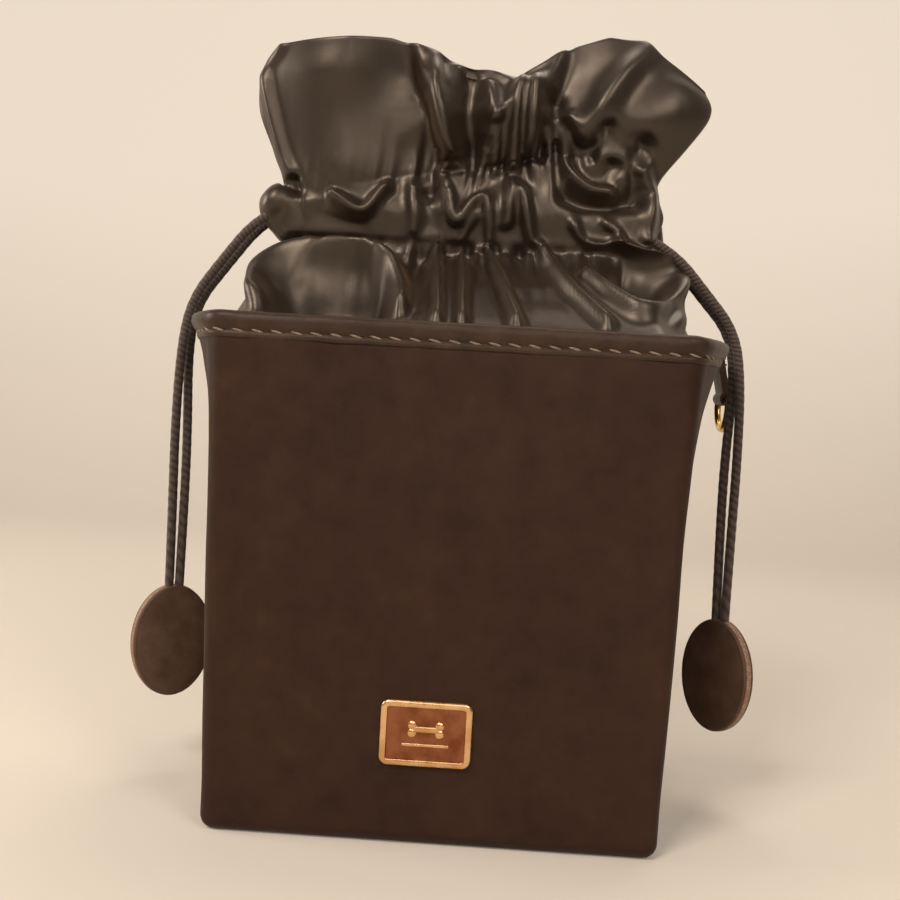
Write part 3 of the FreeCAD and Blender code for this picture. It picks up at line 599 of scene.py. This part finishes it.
rings = []
padded_keys = [2 * keys[0] - keys[1]] + keys + [2 * keys[-1] - keys[-2]]
for span, rows in enumerate(ROWS_PER_SPAN):
    for row in range(rows):
        rings.append(between(*padded_keys[span:span + 4], row / rows))
rings.append(keys[-1])
cloth = np.array(rings)                          # rows, columns, xyz in mm
print("collar grid:", cloth.shape)

# %% [markdown]
# Folds that are given as lines look carved until the cloth has found its own rest. So a short cloth
# simulation follows: the rim and the two gathers are held, the rest is let go with a little more
# cloth than fits, and it buckles into the small creases that slack satin has. It is run on every
# second row and column, and its movement is then spread over the full grid. It runs once the folds
# are in.

# %% Let the cloth settle
SLACK, SETTLE_FRAMES, MOST_MOVE = 0.05, 14, 3.0


def smoother(low, high, value):
    """A soft step from 0 at low to 1 at high."""
    part = np.clip((value - low) / (high - low), 0, 1)
    return part * part * (3 - 2 * part)


def settle(grid):
    """The grid after a short cloth simulation that moves no point by more than MOST_MOVE mm."""
    coarse = grid[::2, ::2]
    bm = skin((coarse * MM).tolist())
    mesh = bpy.data.meshes.new("settling")
    bm.to_mesh(mesh)
    bm.free()
    holder = bpy.data.objects.new("settling", mesh)
    scene.collection.objects.link(holder)
    turn, level = (np.zeros(len(mesh.vertices), np.int32) for _ in range(2))
    mesh.attributes["turn"].data.foreach_get("value", turn)
    mesh.attributes["level"].data.foreach_get("value", level)
    gathers = np.cumsum([0] + ROWS_PER_SPAN)[[2, 4]] / 2
    off = np.min(np.abs(level[:, None] - gathers[None, :]), axis=1)
    held = np.where(level < 3, 1.0, np.clip(0.95 - off * 0.45, 0.12, 0.95))
    # The frill's two petals are smooth and springy, and so, less, are the slope and the sides.
    across = np.abs(spread[::2][turn])
    petal = smoother(gathers[1], gathers[1] + 5, level) * smoother(0.2, 0.42, across)
    slope = 0.75 * (level < gathers[0] - 2)
    sides = 0.85 * smoother(0.22, 0.5, across)
    calm = np.max([petal, slope, sides], axis=0)
    held = np.maximum(held, 0.4 * petal + 0.25 * slope)
    for name, weights in (("held", held), ("calm", calm)):
        group = holder.vertex_groups.new(name=name)
        for index, weight in enumerate(weights):
            group.add([index], float(weight), "REPLACE")
    modifier = holder.modifiers.new("cloth", "CLOTH")
    cloth_settings = modifier.settings
    cloth_settings.quality = 6
    cloth_settings.mass = 0.1
    cloth_settings.tension_stiffness = cloth_settings.compression_stiffness = 12
    cloth_settings.shear_stiffness = 6
    cloth_settings.bending_stiffness, cloth_settings.bending_stiffness_max = 0.4, 8.0
    cloth_settings.shrink_min, cloth_settings.shrink_max = -SLACK, 0.0
    cloth_settings.vertex_group_mass = "held"
    cloth_settings.vertex_group_shrink = cloth_settings.vertex_group_bending = "calm"
    cloth_settings.pin_stiffness = 1.2
    cloth_settings.effector_weights.gravity = 0.3
    modifier.collision_settings.use_collision = False
    for number in range(1, SETTLE_FRAMES + 1):
        scene.frame_set(number)
    shape = holder.evaluated_get(bpy.context.evaluated_depsgraph_get()).to_mesh()
    ended = np.zeros(len(shape.vertices) * 3, np.float32)
    shape.vertices.foreach_get("co", ended)
    moved = np.zeros(coarse.shape)
    moved[level, turn] = ended.reshape(-1, 3) / MM - coarse[level, turn]
    bpy.data.objects.remove(holder)
    scene.frame_set(1)
    far = np.linalg.norm(moved, axis=2, keepdims=True)
    print("cloth settled, mean and most mm:", far.mean().round(2), far.max().round(2))
    moved *= np.minimum(1, MOST_MOVE / np.maximum(far, 1e-6))
    rows = np.clip(np.arange(len(grid)) / 2, 0, len(coarse) - 1)
    columns = np.arange(grid.shape[1]) / 2
    low_row, low_column = np.floor(rows).astype(int), np.floor(columns).astype(int)
    next_row = np.minimum(low_row + 1, len(coarse) - 1)
    up, round_it = (rows - low_row)[:, None, None], (columns - low_column)[None, :, None]
    moved = np.concatenate([moved, moved[:, :1]], axis=1)
    moved = moved[:, low_column] * (1 - round_it) + moved[:, low_column + 1] * round_it
    moved = moved[low_row] * (1 - up) + moved[next_row] * up
    for _ in range(4):                           # no facets from the coarse grid
        moved = (np.roll(moved, 1, 1) + 2 * moved + np.roll(moved, -1, 1)) / 4
        moved[1:-1] = (moved[:-2] + 2 * moved[1:-1] + moved[2:]) / 4
    return grid + moved


# %% [markdown]
# Each fold is a line across the cloth, seen from the front, with a height and a width in mm. A
# positive height raises a rounded ridge along the line, a negative one presses a valley, and a
# step lifts the cloth on one side of the line over the other. All of them push the cloth along
# its own normal, so a fold on the slope stands off the slope.

# %% Folds
FOLDS = [
    # the left petal's light outer fold, and its crown
    (1.2, 1.6, [(-48.9, 187.3), (-52.9, 180.4), (-48.0, 162.8), (-43.2, 154.1)]),
    (2.4, 11, [(-34, 160), (-36, 172), (-35, 186)]),
    # upright pleats in the middle of the frill
    (2.4, 2, [(-10.4, 186.2), (-9.3, 180.3), (-7.4, 172.7), (-4.8, 164.8)]),
    (-2.6, 2.4, [(-1.0, 183.5), (-0.5, 173.3), (0.2, 162.2)]),
    (1.9, 1.15, [(3.1, 180.1), (5.1, 172.6), (6.4, 159.5)]),
    (1.4, 1.1, [(10.8, 181.2), (8.1, 175.1), (5.9, 171.9)]),
    (2.1, 1.15, [(12.2, 181.3), (10.5, 172.9), (11.0, 160.4)]),
    (2.1, 1.3, [(15.4, 182.1), (15.3, 173.1), (14.2, 164.3)]),
    (-2.6, 2.2, [(19.5, 177.1), (18.5, 169.7), (17.4, 164.5)]),
    # the right petal: its slanting crease, its crown, and crumples at its root
    (2.2, 3.2, [(42.4, 190.9), (36.1, 182.4), (29.3, 170.9)]),
    (1.0, 7, [(46, 170), (51, 180)]),
    (-1.7, 2.2, [(33.3, 170.4)]),
    (-1.7, 2.4, [(42.9, 167.1)]),
    (1.4, 1.5, [(28, 168), (24, 173)]),
    # the tunnel: the ear on the left and the creases beside it
    (1.9, 3.4, [(-48.5, 151), (-49.5, 146), (-46, 141)]),
    (-2.4, 1.2, [(-43.6, 154.6), (-42.5, 140.4)]),
    (2.1, 1.4, [(-33.7, 150.0), (-25.6, 147.3), (-20.7, 153.4)]),
    (1.4, 1.5, [(-13.6, 153.8), (-12.8, 143.3)]),
    (-1.6, 2.6, [(-37, 145), (-28, 142)]),
    # the tunnel: zigzag creases in the middle
    (2.2, 1.1, [(-7.5, 158.1), (-4.8, 152.6), (-2.6, 146.0), (0.9, 149.6), (4.8, 151.5),
                (6.2, 141.9)]),
    (1.4, 1, [(-1.6, 141.5), (2.5, 147.8)]),
    (1.9, 1.2, [(10.9, 155.9), (9.9, 145.9)]),
    (-1.6, 1.3, [(-9.5, 153), (-9, 144)]),
    # the tunnel: the swirl and the puff on the right, over a dark hollow
    (2.6, 1.7, [(23.4, 166.9), (24.7, 160.4), (29.2, 155.4), (35.5, 154.1)]),
    (1.5, 2.4, [(31, 162), (35, 165), (39, 163), (38.1, 158.6)]),
    (2, 2.2, [(43.4, 161.3), (45.6, 153.9), (45.6, 145.6)]),
    (-2.4, 2.2, [(25, 154), (33, 150.5), (42, 154)]),
    # one long crease from the neck down to the rim
    (2.5, 1.6, [(13.3, 153.7), (16.3, 144.1), (18.9, 139.8), (26.3, 129.1), (34.5, 120.5)]),
    # the slope: a rolled fold on the left with a hollow under it
    (4.6, 2.4, [(-47.3, 121.6), (-47.9, 127.4), (-41.8, 132.6), (-27, 135.0), (-17, 131),
                (-14, 123)]),
    (-7.0, 4.6, [(-38, 122.0), (-30, 125.5), (-22, 124)]),
    (-1.6, 2.0, [(-14, 134), (-16, 120)]),
    # the slope: three pleats under the neck
    (2.8, 1.4, [(-7.0, 137.5), (-4.9, 118.5)]),
    (2.8, 1.4, [(-0.4, 134.9), (0.9, 118.5)]),
    (3.0, 1.5, [(5.6, 139.1), (9.0, 130.0), (13.6, 118.5)]),
    (-1.8, 1.8, [(-11, 136), (-12, 121)]),
    # the slope: a hook and a swag of slack cloth on the right
    (1.9, 1.3, [(26.9, 146.8), (29.7, 143.1), (34.3, 141.9), (38.0, 145.2), (34.8, 148.0)]),
    (2.9, 1.7, [(30.4, 132.3), (36.6, 127.2), (43.3, 124.1), (50.7, 128.2), (50.7, 134.6),
                (38.9, 143.6)]),
    (-3.6, 4, [(41, 134), (46, 130)]),
    (1.8, 2, [(44.2, 144.5), (52.0, 130.8), (52.5, 122.4)]),
]
FOLD_GAIN = 1.5
STEPS = [
    # the left petal's turned edge, over the pleats in the middle
    (2.0, 0.7, 9.0, [(-17.4, 194.5), (-14.0, 181.1), (-11.3, 175.3), (-8.2, 165.0)]),
    # the right petal's inner edge, over the same pleats
    (-1.8, 1.0, 9.0, [(22.7, 189.5), (19.6, 177.5), (20.4, 167.6)]),
]


def softened(line):
    """The same line with its corners rounded off."""
    points = [np.array(p, float) for p in line]
    if len(points) < 3:
        return points
    padded = [2 * points[0] - points[1]] + points + [2 * points[-1] - points[-2]]
    return [between(*padded[at:at + 4], part) for at in range(len(points) - 1)
            for part in np.linspace(0, 1, 5, endpoint=False)] + [points[-1]]


def distance_to(line, x, z):
    """Each point's distance in mm from a line, and on which side of it the point lies."""
    best = np.full(x.shape, np.inf)
    side = np.ones(x.shape)
    line = softened(line)
    for a, b in zip(line, line[1:] or [line[0] + 1e-6]):
        run = b - a
        part = np.clip(((x - a[0]) * run[0] + (z - a[1]) * run[1]) / (run @ run), 0, 1)
        off_x, off_z = x - a[0] - part * run[0], z - a[1] - part * run[1]
        far = np.hypot(off_x, off_z)
        nearer = far < best
        best = np.where(nearer, far, best)
        side = np.where(nearer, np.sign(run[0] * off_z - run[1] * off_x), side)
    return best, side


def normals_of(grid):
    """Outward unit normals of a closed grid of points."""
    along = np.roll(grid, -1, axis=1) - np.roll(grid, 1, axis=1)
    up = np.gradient(grid, axis=0)
    normal = np.cross(along, up)
    return normal / np.maximum(np.linalg.norm(normal, axis=2, keepdims=True), 1e-9)


x, z = cloth[:, :, 0], cloth[:, :, 2]
raised = np.zeros(x.shape)
for height, width, line in FOLDS:
    far, _ = distance_to(line, x, z)
    raised += height * np.exp(-(far / width) ** 2)
for height, width, reach, line in STEPS:
    far, side = distance_to(line, x, z)
    raised += height * np.tanh(side * far / width) * np.exp(-(far / reach) ** 2)

# Pleats gathered by each drawn thread: fine, uneven and deepest in the middle of the neck.
PLEAT_PITCHES = (3.3, 4.4, 5.9, 8.3)             # mm
phases = np.random.default_rng(7).uniform(0, 2 * math.pi, len(PLEAT_PITCHES))
waves = [(2 * math.pi / pitch, phase) for pitch, phase in zip(PLEAT_PITCHES, phases)]
centred = 0.1 + 0.9 * np.exp(-((x - 4) / 19) ** 2)
for gather, below, above in ((low_gather, 9.0, 6.0), (high_gather, 6.0, 10.0)):
    off = z - gather[None, :, 2]
    fade = np.exp(-np.abs(off) / np.where(off < 0, below, above) * 1.6)
    lean = x + off * 0.12 * np.sign(x - 4)
    pleats = sum(np.sin(lean * rate + phase + toward * 1.3) for rate, phase in waves) / 2
    raised += 1.25 * centred * fade * pleats - 0.6 * centred * np.exp(-(off / 0.9) ** 2)
rows = np.arange(len(cloth))[:, None]
raised *= smoother(0, 6, rows)                   # nothing moves in the rim seam
raised *= 1 - 0.55 * smoother(len(cloth) - 16, len(cloth), rows)        # a calmer top edge

cloth = cloth + normals_of(cloth) * (raised * FOLD_GAIN)[:, :, None]
cloth = settle(cloth)
# The strings need room all along the tunnel, and nowhere may the front half meet the back one.
# logaddexp is a soft maximum, with no hard edge where the one value takes over from the other.
ROOM, LEAST, SOFTNESS = 4.1, 0.5, 0.8            # mm
tall = cloth[:, :, 2]
round_strings = smoother(138.6, 141.6, tall) * (1 - smoother(149.2, 153.0, tall))
round_strings *= 1 - smoother(44, 50, np.abs(cloth[:, :, 0]))
least = (LEAST + ROOM * round_strings) * np.minimum(1, roundness * 3)[None, :]
depth = toward * cloth[:, :, 1]
cloth[:, :, 1] = toward * (least + np.logaddexp(0, (depth - least) / SOFTNESS) * SOFTNESS)
print("folds:", len(FOLDS), "lowest, highest, mm:", raised.min().round(1), raised.max().round(1))

# %% [markdown]
# The frill's edge is hemmed: the cloth turns over a little roll and runs a little way down inside.
# That gives the edge a thickness without thickening all of the cloth. The tunnel for the strings
# needs an inner layer too, from one line of stitching to the other, which also shuts the mouth. The
# collar is then cut in four. Each vertex first notes how the whole cloth is shaded there, so that
# the cuts don't show.

# %% Hem, and the four quarters
HEM = [(0.25, 0.25), (0.6, 0.2), (0.85, -0.2), (0.85, -1.2), (0.8, -2.4)]   # inward, up

edge = cloth[-1]
inward = -np.stack([spread ** 3, toward * (1 - np.abs(spread) ** 3), 0 * spread], 1)
inward /= np.linalg.norm(inward, axis=1, keepdims=True)
hem = [edge + inward * step + np.array([0, 0, rise]) for step, rise in HEM]
low_row, high_row = (sum(ROWS_PER_SPAN[:span]) for span in (2, 4))      # the two gathers
INNER_RINGS = 9
tunnel_rings = []
for part in np.linspace(0, 1, INNER_RINGS):
    ring = cloth[low_row] * (1 - part) + cloth[high_row] * part
    ring[:, 1] *= 0.92 - 0.7 * math.sin(math.pi * part) ** 0.6
    tunnel_rings.append(ring * MM)
cloth = np.concatenate([cloth, hem]) * MM

collar = skin(cloth.tolist())
level = collar.verts.layers.int["level"]
for _ in range(2):
    bmesh.ops.smooth_vert(collar, verts=[v for v in collar.verts if v[level]], factor=0.4,
                          use_axis_x=True, use_axis_y=True, use_axis_z=True)
bmesh.ops.recalc_face_normals(collar, faces=collar.faces)
inner = skin([ring.tolist() for ring in tunnel_rings])
inner_mesh = bpy.data.meshes.new("tunnel_inner")
inner.to_mesh(inner_mesh)
inner.free()
collar.from_mesh(inner_mesh)
bpy.data.meshes.remove(inner_mesh)
collar.normal_update()
shade = collar.verts.layers.float_vector.new("shade")
for vert in collar.verts:
    vert[shade] = vert.normal

QUARTERS = {"collar_back_right": 0, "collar_back_left": 1, "collar_front_left": 2,
            "collar_front_right": 3}
STANDS_FOR = {
    "collar_back_right": ["back_skirt", "right_gusset"],
    "collar_back_left": ["back_casing", "back_ruffle"],
    "collar_front_left": ["front_skirt", "left_gusset"],
    "collar_front_right": ["front_casing", "front_ruffle"],
}
quarter = COLUMNS // 4
for name, number in QUARTERS.items():
    piece = collar.copy()
    turn = piece.verts.layers.int["turn"]
    own = set(range(number * quarter, (number + 1) * quarter + 1))
    if number == 3:
        own.add(0)                               # the ring closes on its first column
    others = [f for f in piece.faces if not all(v[turn] in own for v in f.verts)]
    bmesh.ops.delete(piece, geom=others, context="FACES")
    cloth_piece = finish_piece(piece, name, collar_satin, 180)
    mesh = cloth_piece.data
    shades = np.zeros(len(mesh.vertices) * 3, np.float32)
    mesh.attributes["shade"].data.foreach_get("vector", shades)
    mesh.normals_split_custom_set_from_vertices(shades.reshape(-1, 3).tolist())
    mesh.attributes.remove(mesh.attributes["shade"])
    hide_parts(*STANDS_FOR[name])
    way = 1 if name.endswith("right") else -1
    half = "front_collar" if "front" in name else "back_collar"
    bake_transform(cloth_piece)
    print(name, "cloth area, cm2:", round(sum(p.area for p in mesh.polygons) * 1e4, 1))
collar.free()

# %% [markdown]
# Inside the tunnel each string runs from its own side to the far side, turns round and runs back.
# Each run is made in two halves that meet in the middle. The turn at the far end stays with the
# box.

# %% String runs
RUN_HALF, RUN_Y, TURN_AT = 47.0, 2.9, 44.4
STRING_HEIGHT = {"right": 143.6, "left": 147.2}


def straight(start, end, steps=60):
    """Points in metres along a straight run between two places in mm."""
    return [Vector(start).lerp(Vector(end), step / steps) * MM for step in range(steps + 1)]


for owner, z in STRING_HEIGHT.items():
    far = -1 if owner == "right" else 1
    for half, y in (("front", -RUN_Y), ("back", RUN_Y)):
        for way, reach in ((far, TURN_AT), (-far, RUN_HALF)):
            where = "right" if way > 0 else "left"
            run = finish_piece(tube(straight((0, y, z), (way * reach, y, z)), STRING_DIAMETER / 2),
                               f"{owner}_string_{half}_run_{where}_half", string_cotton)
            if way == far:
                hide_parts(f"{owner}_string_{half}_run")
            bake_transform(run)
    bend = [Vector((far * (TURN_AT + RUN_Y * math.sin(a)), -RUN_Y * math.cos(a), z)) * MM
            for a in np.linspace(0, math.pi, 20)]
    turn_piece = finish_piece(tube(bend, STRING_DIAMETER / 2), f"{owner}_string_far_turn",
                              string_cotton)
    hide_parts(f"{owner}_string_turn")
    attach(turn_piece, "pouch")

# %% [markdown]
# ## The tabs
# Each pair of string ends is sewn into a tab: two ovals of thin leather over a soft core, with a
# paler edge between them. Each tab is turned a little, as a thing on two strings hangs.
# A tab is small and stiff, so its leather faces are crowned by their outline, not simulated.

# %% Tabs
TAB_WIDE, TAB_TALL, TAB_TOP = 21.0, 29.0, 48.4
TABS = {"right": (71.4, -52.0), "left": (-71.15, 35.0)}
FACE_PROFILE = [(0.04, 2.55), (0.2, 2.53), (0.4, 2.45), (0.58, 2.3), (0.72, 2.12), (0.83, 1.95),
                (0.9, 1.85), (0.93, 1.72), (0.96, 1.78), (0.985, 1.6), (1.0, 1.25), (0.995, 0.9)]
EDGE_PROFILE = [(0.9, 0.95), (0.985, 0.95), (1.005, 0.7), (1.01, 0.0), (1.005, -0.7),
                (0.985, -0.95), (0.9, -0.95)]


def oval_rings(profile, place, points=72):
    """Rings round a tab, for (share of the oval, distance from its middle plane in mm)."""
    return [[place @ Vector((TAB_WIDE / 2 * part * math.cos(a), off,
                             TAB_TALL / 2 * part * math.sin(a))) for a in
             np.arange(points) * 2 * math.pi / points] for part, off in profile]


for side, (x, angle) in TABS.items():
    place = (Matrix.Scale(MM, 4) @ Matrix.Translation((x, 0, TAB_TOP - TAB_TALL / 2))
             @ Matrix.Rotation(math.radians(angle), 4, "Z"))
    pieces = []
    for facing, way in (("front", -1), ("back", 1)):
        face = skin(oval_rings([(part, way * off) for part, off in FACE_PROFILE], place),
                    capped=True)
        leather = finish_piece(face, f"{side}_tab_{facing}_leather", tab_leather, 50)
        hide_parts(f"{side}_tab_{facing}")
        pieces.append(leather)
    band = skin(oval_rings(EDGE_PROFILE, place), capped=True)
    edge_band = finish_piece(band, f"{side}_tab_edge", pale_tab_edge, 50)
    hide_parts(f"{side}_tab_core")
    pieces.append(edge_band)
    for piece in pieces:
        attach(piece, f"{side}_tab")

# %% [markdown]
# The hanging ends come last, because each one ends in its tab. The tabs rise as the mouth opens.

# %% Hang the strings
for name, (piece, line) in strings.items():
    side, half = name.split("_")[0], name.split("_")[2]
    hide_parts(f"{side}_string_{half}_leg", f"{side}_string_{half}_end")
    x = line[-1].x
    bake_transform(piece)

# %% [markdown]
# ## The name plate
# A stamped brass plate with a raised, rounded border. It is cut from a block: its corners are
# bevelled, and its face is inset step by step, up over the rounded border and down into the
# field. The field holds a plain raised bone, a sign for treats that belongs to nobody.

# %% Name plate
plate_low, plate_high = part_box("name_plate")
plate_middle = (plate_low + plate_high) / 2
PLATE_WIDE, PLATE_TALL, PLATE_THICK, CORNER = 20.6, 14.8, 0.8, 2.0          # mm
PLATE_BACK_Y, FIELD_Y = -41.05, -41.7
BORDER_STEPS = [(0.12, 0.16), (0.18, 0.14), (0.25, 0.06), (0.7, 0.0), (0.15, -0.08), (0.18, -0.42)]

plate = bmesh.new()
bmesh.ops.create_cube(plate, size=MM)
bmesh.ops.scale(plate, vec=(PLATE_WIDE, PLATE_THICK, PLATE_TALL), verts=plate.verts)
posts = [e for e in plate.edges if abs(e.verts[0].co.y - e.verts[1].co.y) > 0.5 * MM]
bmesh.ops.bevel(plate, geom=posts, offset=CORNER * MM, affect="EDGES", segments=8, profile=0.5,
                material=-1)
field = min(plate.faces, key=lambda f: f.calc_center_median().y)
for inset, rise in BORDER_STEPS:
    bmesh.ops.inset_region(plate, faces=[field], thickness=inset * MM, depth=rise * MM,
                           use_even_offset=True)
shift = Vector((plate_middle.x, (PLATE_BACK_Y - PLATE_THICK / 2) * MM, plate_middle.z))
bmesh.ops.translate(plate, vec=shift, verts=plate.verts)
field.material_index = 1
print("plate's field at y, mm:", round(field.calc_center_median().y / MM, 2))
name_plate = finish_piece(plate, "brass_plate", plate_brass, 30)
name_plate.data.materials.append(recess_brass)
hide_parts("name_plate")
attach(name_plate, "pouch")

# %% [markdown]
# The bone is two pairs of flattened balls joined by a bar, sunk into the field so that only
# their tops show, with a plain raised line under it.

# %% The bone on the plate
BONE_HALF, KNOB, KNOB_SPREAD, BAR = 3.1, 1.05, 0.85, 0.72           # mm
LINE_HALF, LINE_THICK, LINE_DROP = 5.2, 0.34, 3.6
emblem = bmesh.new()
middle = Vector((plate_middle.x / MM, FIELD_Y, plate_middle.z / MM + 1.0))
flat = Matrix.Diagonal((1, 0.42, 1, 1))
for along_x in (-1, 1):
    for along_z in (-1, 1):
        spot = middle + Vector((along_x * BONE_HALF, 0, along_z * KNOB_SPREAD))
        bmesh.ops.create_uvsphere(emblem, u_segments=20, v_segments=12, radius=KNOB * MM,
                                  matrix=Matrix.Translation(spot * MM) @ flat)
for drop, half_long, thick in ((0, BONE_HALF, BAR), (LINE_DROP, LINE_HALF, LINE_THICK)):
    spot = middle - Vector((0, 0, drop))
    bmesh.ops.create_cone(emblem, cap_ends=True, segments=20, radius1=thick * MM,
                          radius2=thick * MM, depth=2 * half_long * MM,
                          matrix=Matrix.Translation(spot * MM) @ flat
                          @ Matrix.Rotation(math.pi / 2, 4, "Y"))
bone = finish_piece(emblem, "plate_bone", plate_brass, 40)
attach(bone, "pouch")

# %% [markdown]
# The pieces that the construction model already shapes well keep their meshes and get their
# real finishes: the ring and its folded strap, the boards, the lining and the plate's backing.

# %% Finish the carried-over nodes
NODE_FINISH = {
    "d_ring": ring_brass, "ring_strap": rim_leather, "ring_strap_thread": stitch_thread,
    "plate_backing": steel, "wall_lining": lining_cotton, "base_lining": lining_cotton,
    "base_board": grey_board, "front_board": grey_board, "back_board": grey_board,
}
for name, material in NODE_FINISH.items():
    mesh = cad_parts[name].data
    mesh.materials.clear()
    mesh.materials.append(material)
shown = [n for n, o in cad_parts.items() if not o.hide_render]
print("nodes shown:", len(shown), "without a finish here:", sorted(set(shown) - set(NODE_FINISH)))

# %% [markdown]
# ## Studio
# A plain pale floor that curves up into a backdrop. Its own colour makes it pale, not more
# light: towards the top it glows for what looks at it, and lights nothing. A soft lamp stands
# over the left of the camera, as a window would, with weaker ones over the right and in front,
# one low on the left for the edges of the folds, and one overhead for the back.

# %% Floor and lights
floor_material, tree, place, surface = new_material("studio_paper")
height = add(tree, "SeparateXYZ", {"Vector": place}).outputs["Z"]
rise = add(tree, "MapRange", {"Value": height, "From Max": 0.32}).outputs["Result"]
paper = add(tree, "BsdfPrincipled", {"Base Color": ramp(tree, rise, [(0.0, "#d4cbbf"),
                                                                      (1.0, "#e6ded4")]),
                                     "Roughness": 0.9}).outputs[0]
glow = add(tree, "Emission", {"Color": linear("#efe0cd"), "Strength": 1.0}).outputs[0]
rays = add(tree, "LightPath").outputs
seen = add(tree, "Math", {0: rays["Is Camera Ray"], 1: rays["Is Glossy Ray"]},
           operation="MAXIMUM").outputs[0]
seen = add(tree, "Math", {0: seen, 1: rays["Is Transmission Ray"]}, operation="MAXIMUM").outputs[0]
shares = add(tree, "MapRange", {"Value": rise, "To Min": 0.1, "To Max": 0.85}).outputs["Result"]
part = add(tree, "Math", {0: seen, 1: shares}, operation="MULTIPLY").outputs[0]
tree.links.new(add(tree, "MixShader", {0: part, 1: paper, 2: glow}).outputs[0], surface)

FLOOR_HALF, FLOOR_END, SWEEP_RADIUS, WALL_TALL = 5.0, 0.5, 0.35, 2.2        # m
curve = [(FLOOR_END + SWEEP_RADIUS * math.sin(a), SWEEP_RADIUS * (1 - math.cos(a)))
         for a in np.linspace(0.15, math.pi / 2, 10)]
sweep = bmesh.new()
start = [sweep.verts.new((x, -FLOOR_HALF, 0)) for x in (-FLOOR_HALF, FLOOR_HALF)]
edge = [sweep.edges.new(start)]
for y, z in [(FLOOR_END, 0)] + curve + [(FLOOR_END + SWEEP_RADIUS, WALL_TALL)]:
    grown = bmesh.ops.extrude_edge_only(sweep, edges=edge)["geom"]
    fresh = [g for g in grown if isinstance(g, bmesh.types.BMVert)]
    edge = [e for e in fresh[0].link_edges if e.other_vert(fresh[0]) in fresh]
    for vert in fresh:
        vert.co.y, vert.co.z = y, z
bmesh.ops.recalc_face_normals(sweep, faces=sweep.faces)
floor_mesh = bpy.data.meshes.new("floor")
sweep.to_mesh(floor_mesh)
sweep.free()
floor_mesh.materials.append(floor_material)
floor_mesh.shade_smooth()
floor = bpy.data.objects.new("floor", floor_mesh)
scene.collection.objects.link(floor)

# %% Lamps and the room
LAMPS = [                                        # name, place and size in m, watts
    ("window", (-0.4, -0.7, 0.78), 0.35, 7.5), ("front", (0.12, -0.95, 0.45), 0.35, 1.5),
    ("fill", (0.5, -0.75, 0.7), 0.35, 3.6), ("left_edge", (-0.8, 0.0, 0.35), 0.25, 3),
    ("overhead", (0.1, 0.3, 0.9), 0.5, 3),
]
AIM = Vector((0, 0, 0.1))
for name, at, size, power in LAMPS:
    light = bpy.data.lights.new(name, "AREA")
    light.shape, light.size, light.energy = "SQUARE", size, power
    light.color = linear("#fff3e6")[:3]
    holder = bpy.data.objects.new(name, light)
    scene.collection.objects.link(holder)
    holder.location = at
    holder.rotation_mode = "QUATERNION"
    holder.rotation_quaternion = (AIM - Vector(at)).to_track_quat("-Z", "Y")
print("lamps:", len(LAMPS))

world = bpy.data.worlds.new("room")
scene.world = world
world.use_nodes = True
world.node_tree.nodes.clear()
room = add(world.node_tree, "Background", {"Color": linear("#f6efe6"), "Strength": 0.2})
world_out = world.node_tree.nodes.new("ShaderNodeOutputWorld")
world.node_tree.links.new(room.outputs[0], world_out.inputs["Surface"])
scene.view_settings.view_transform = "Standard"
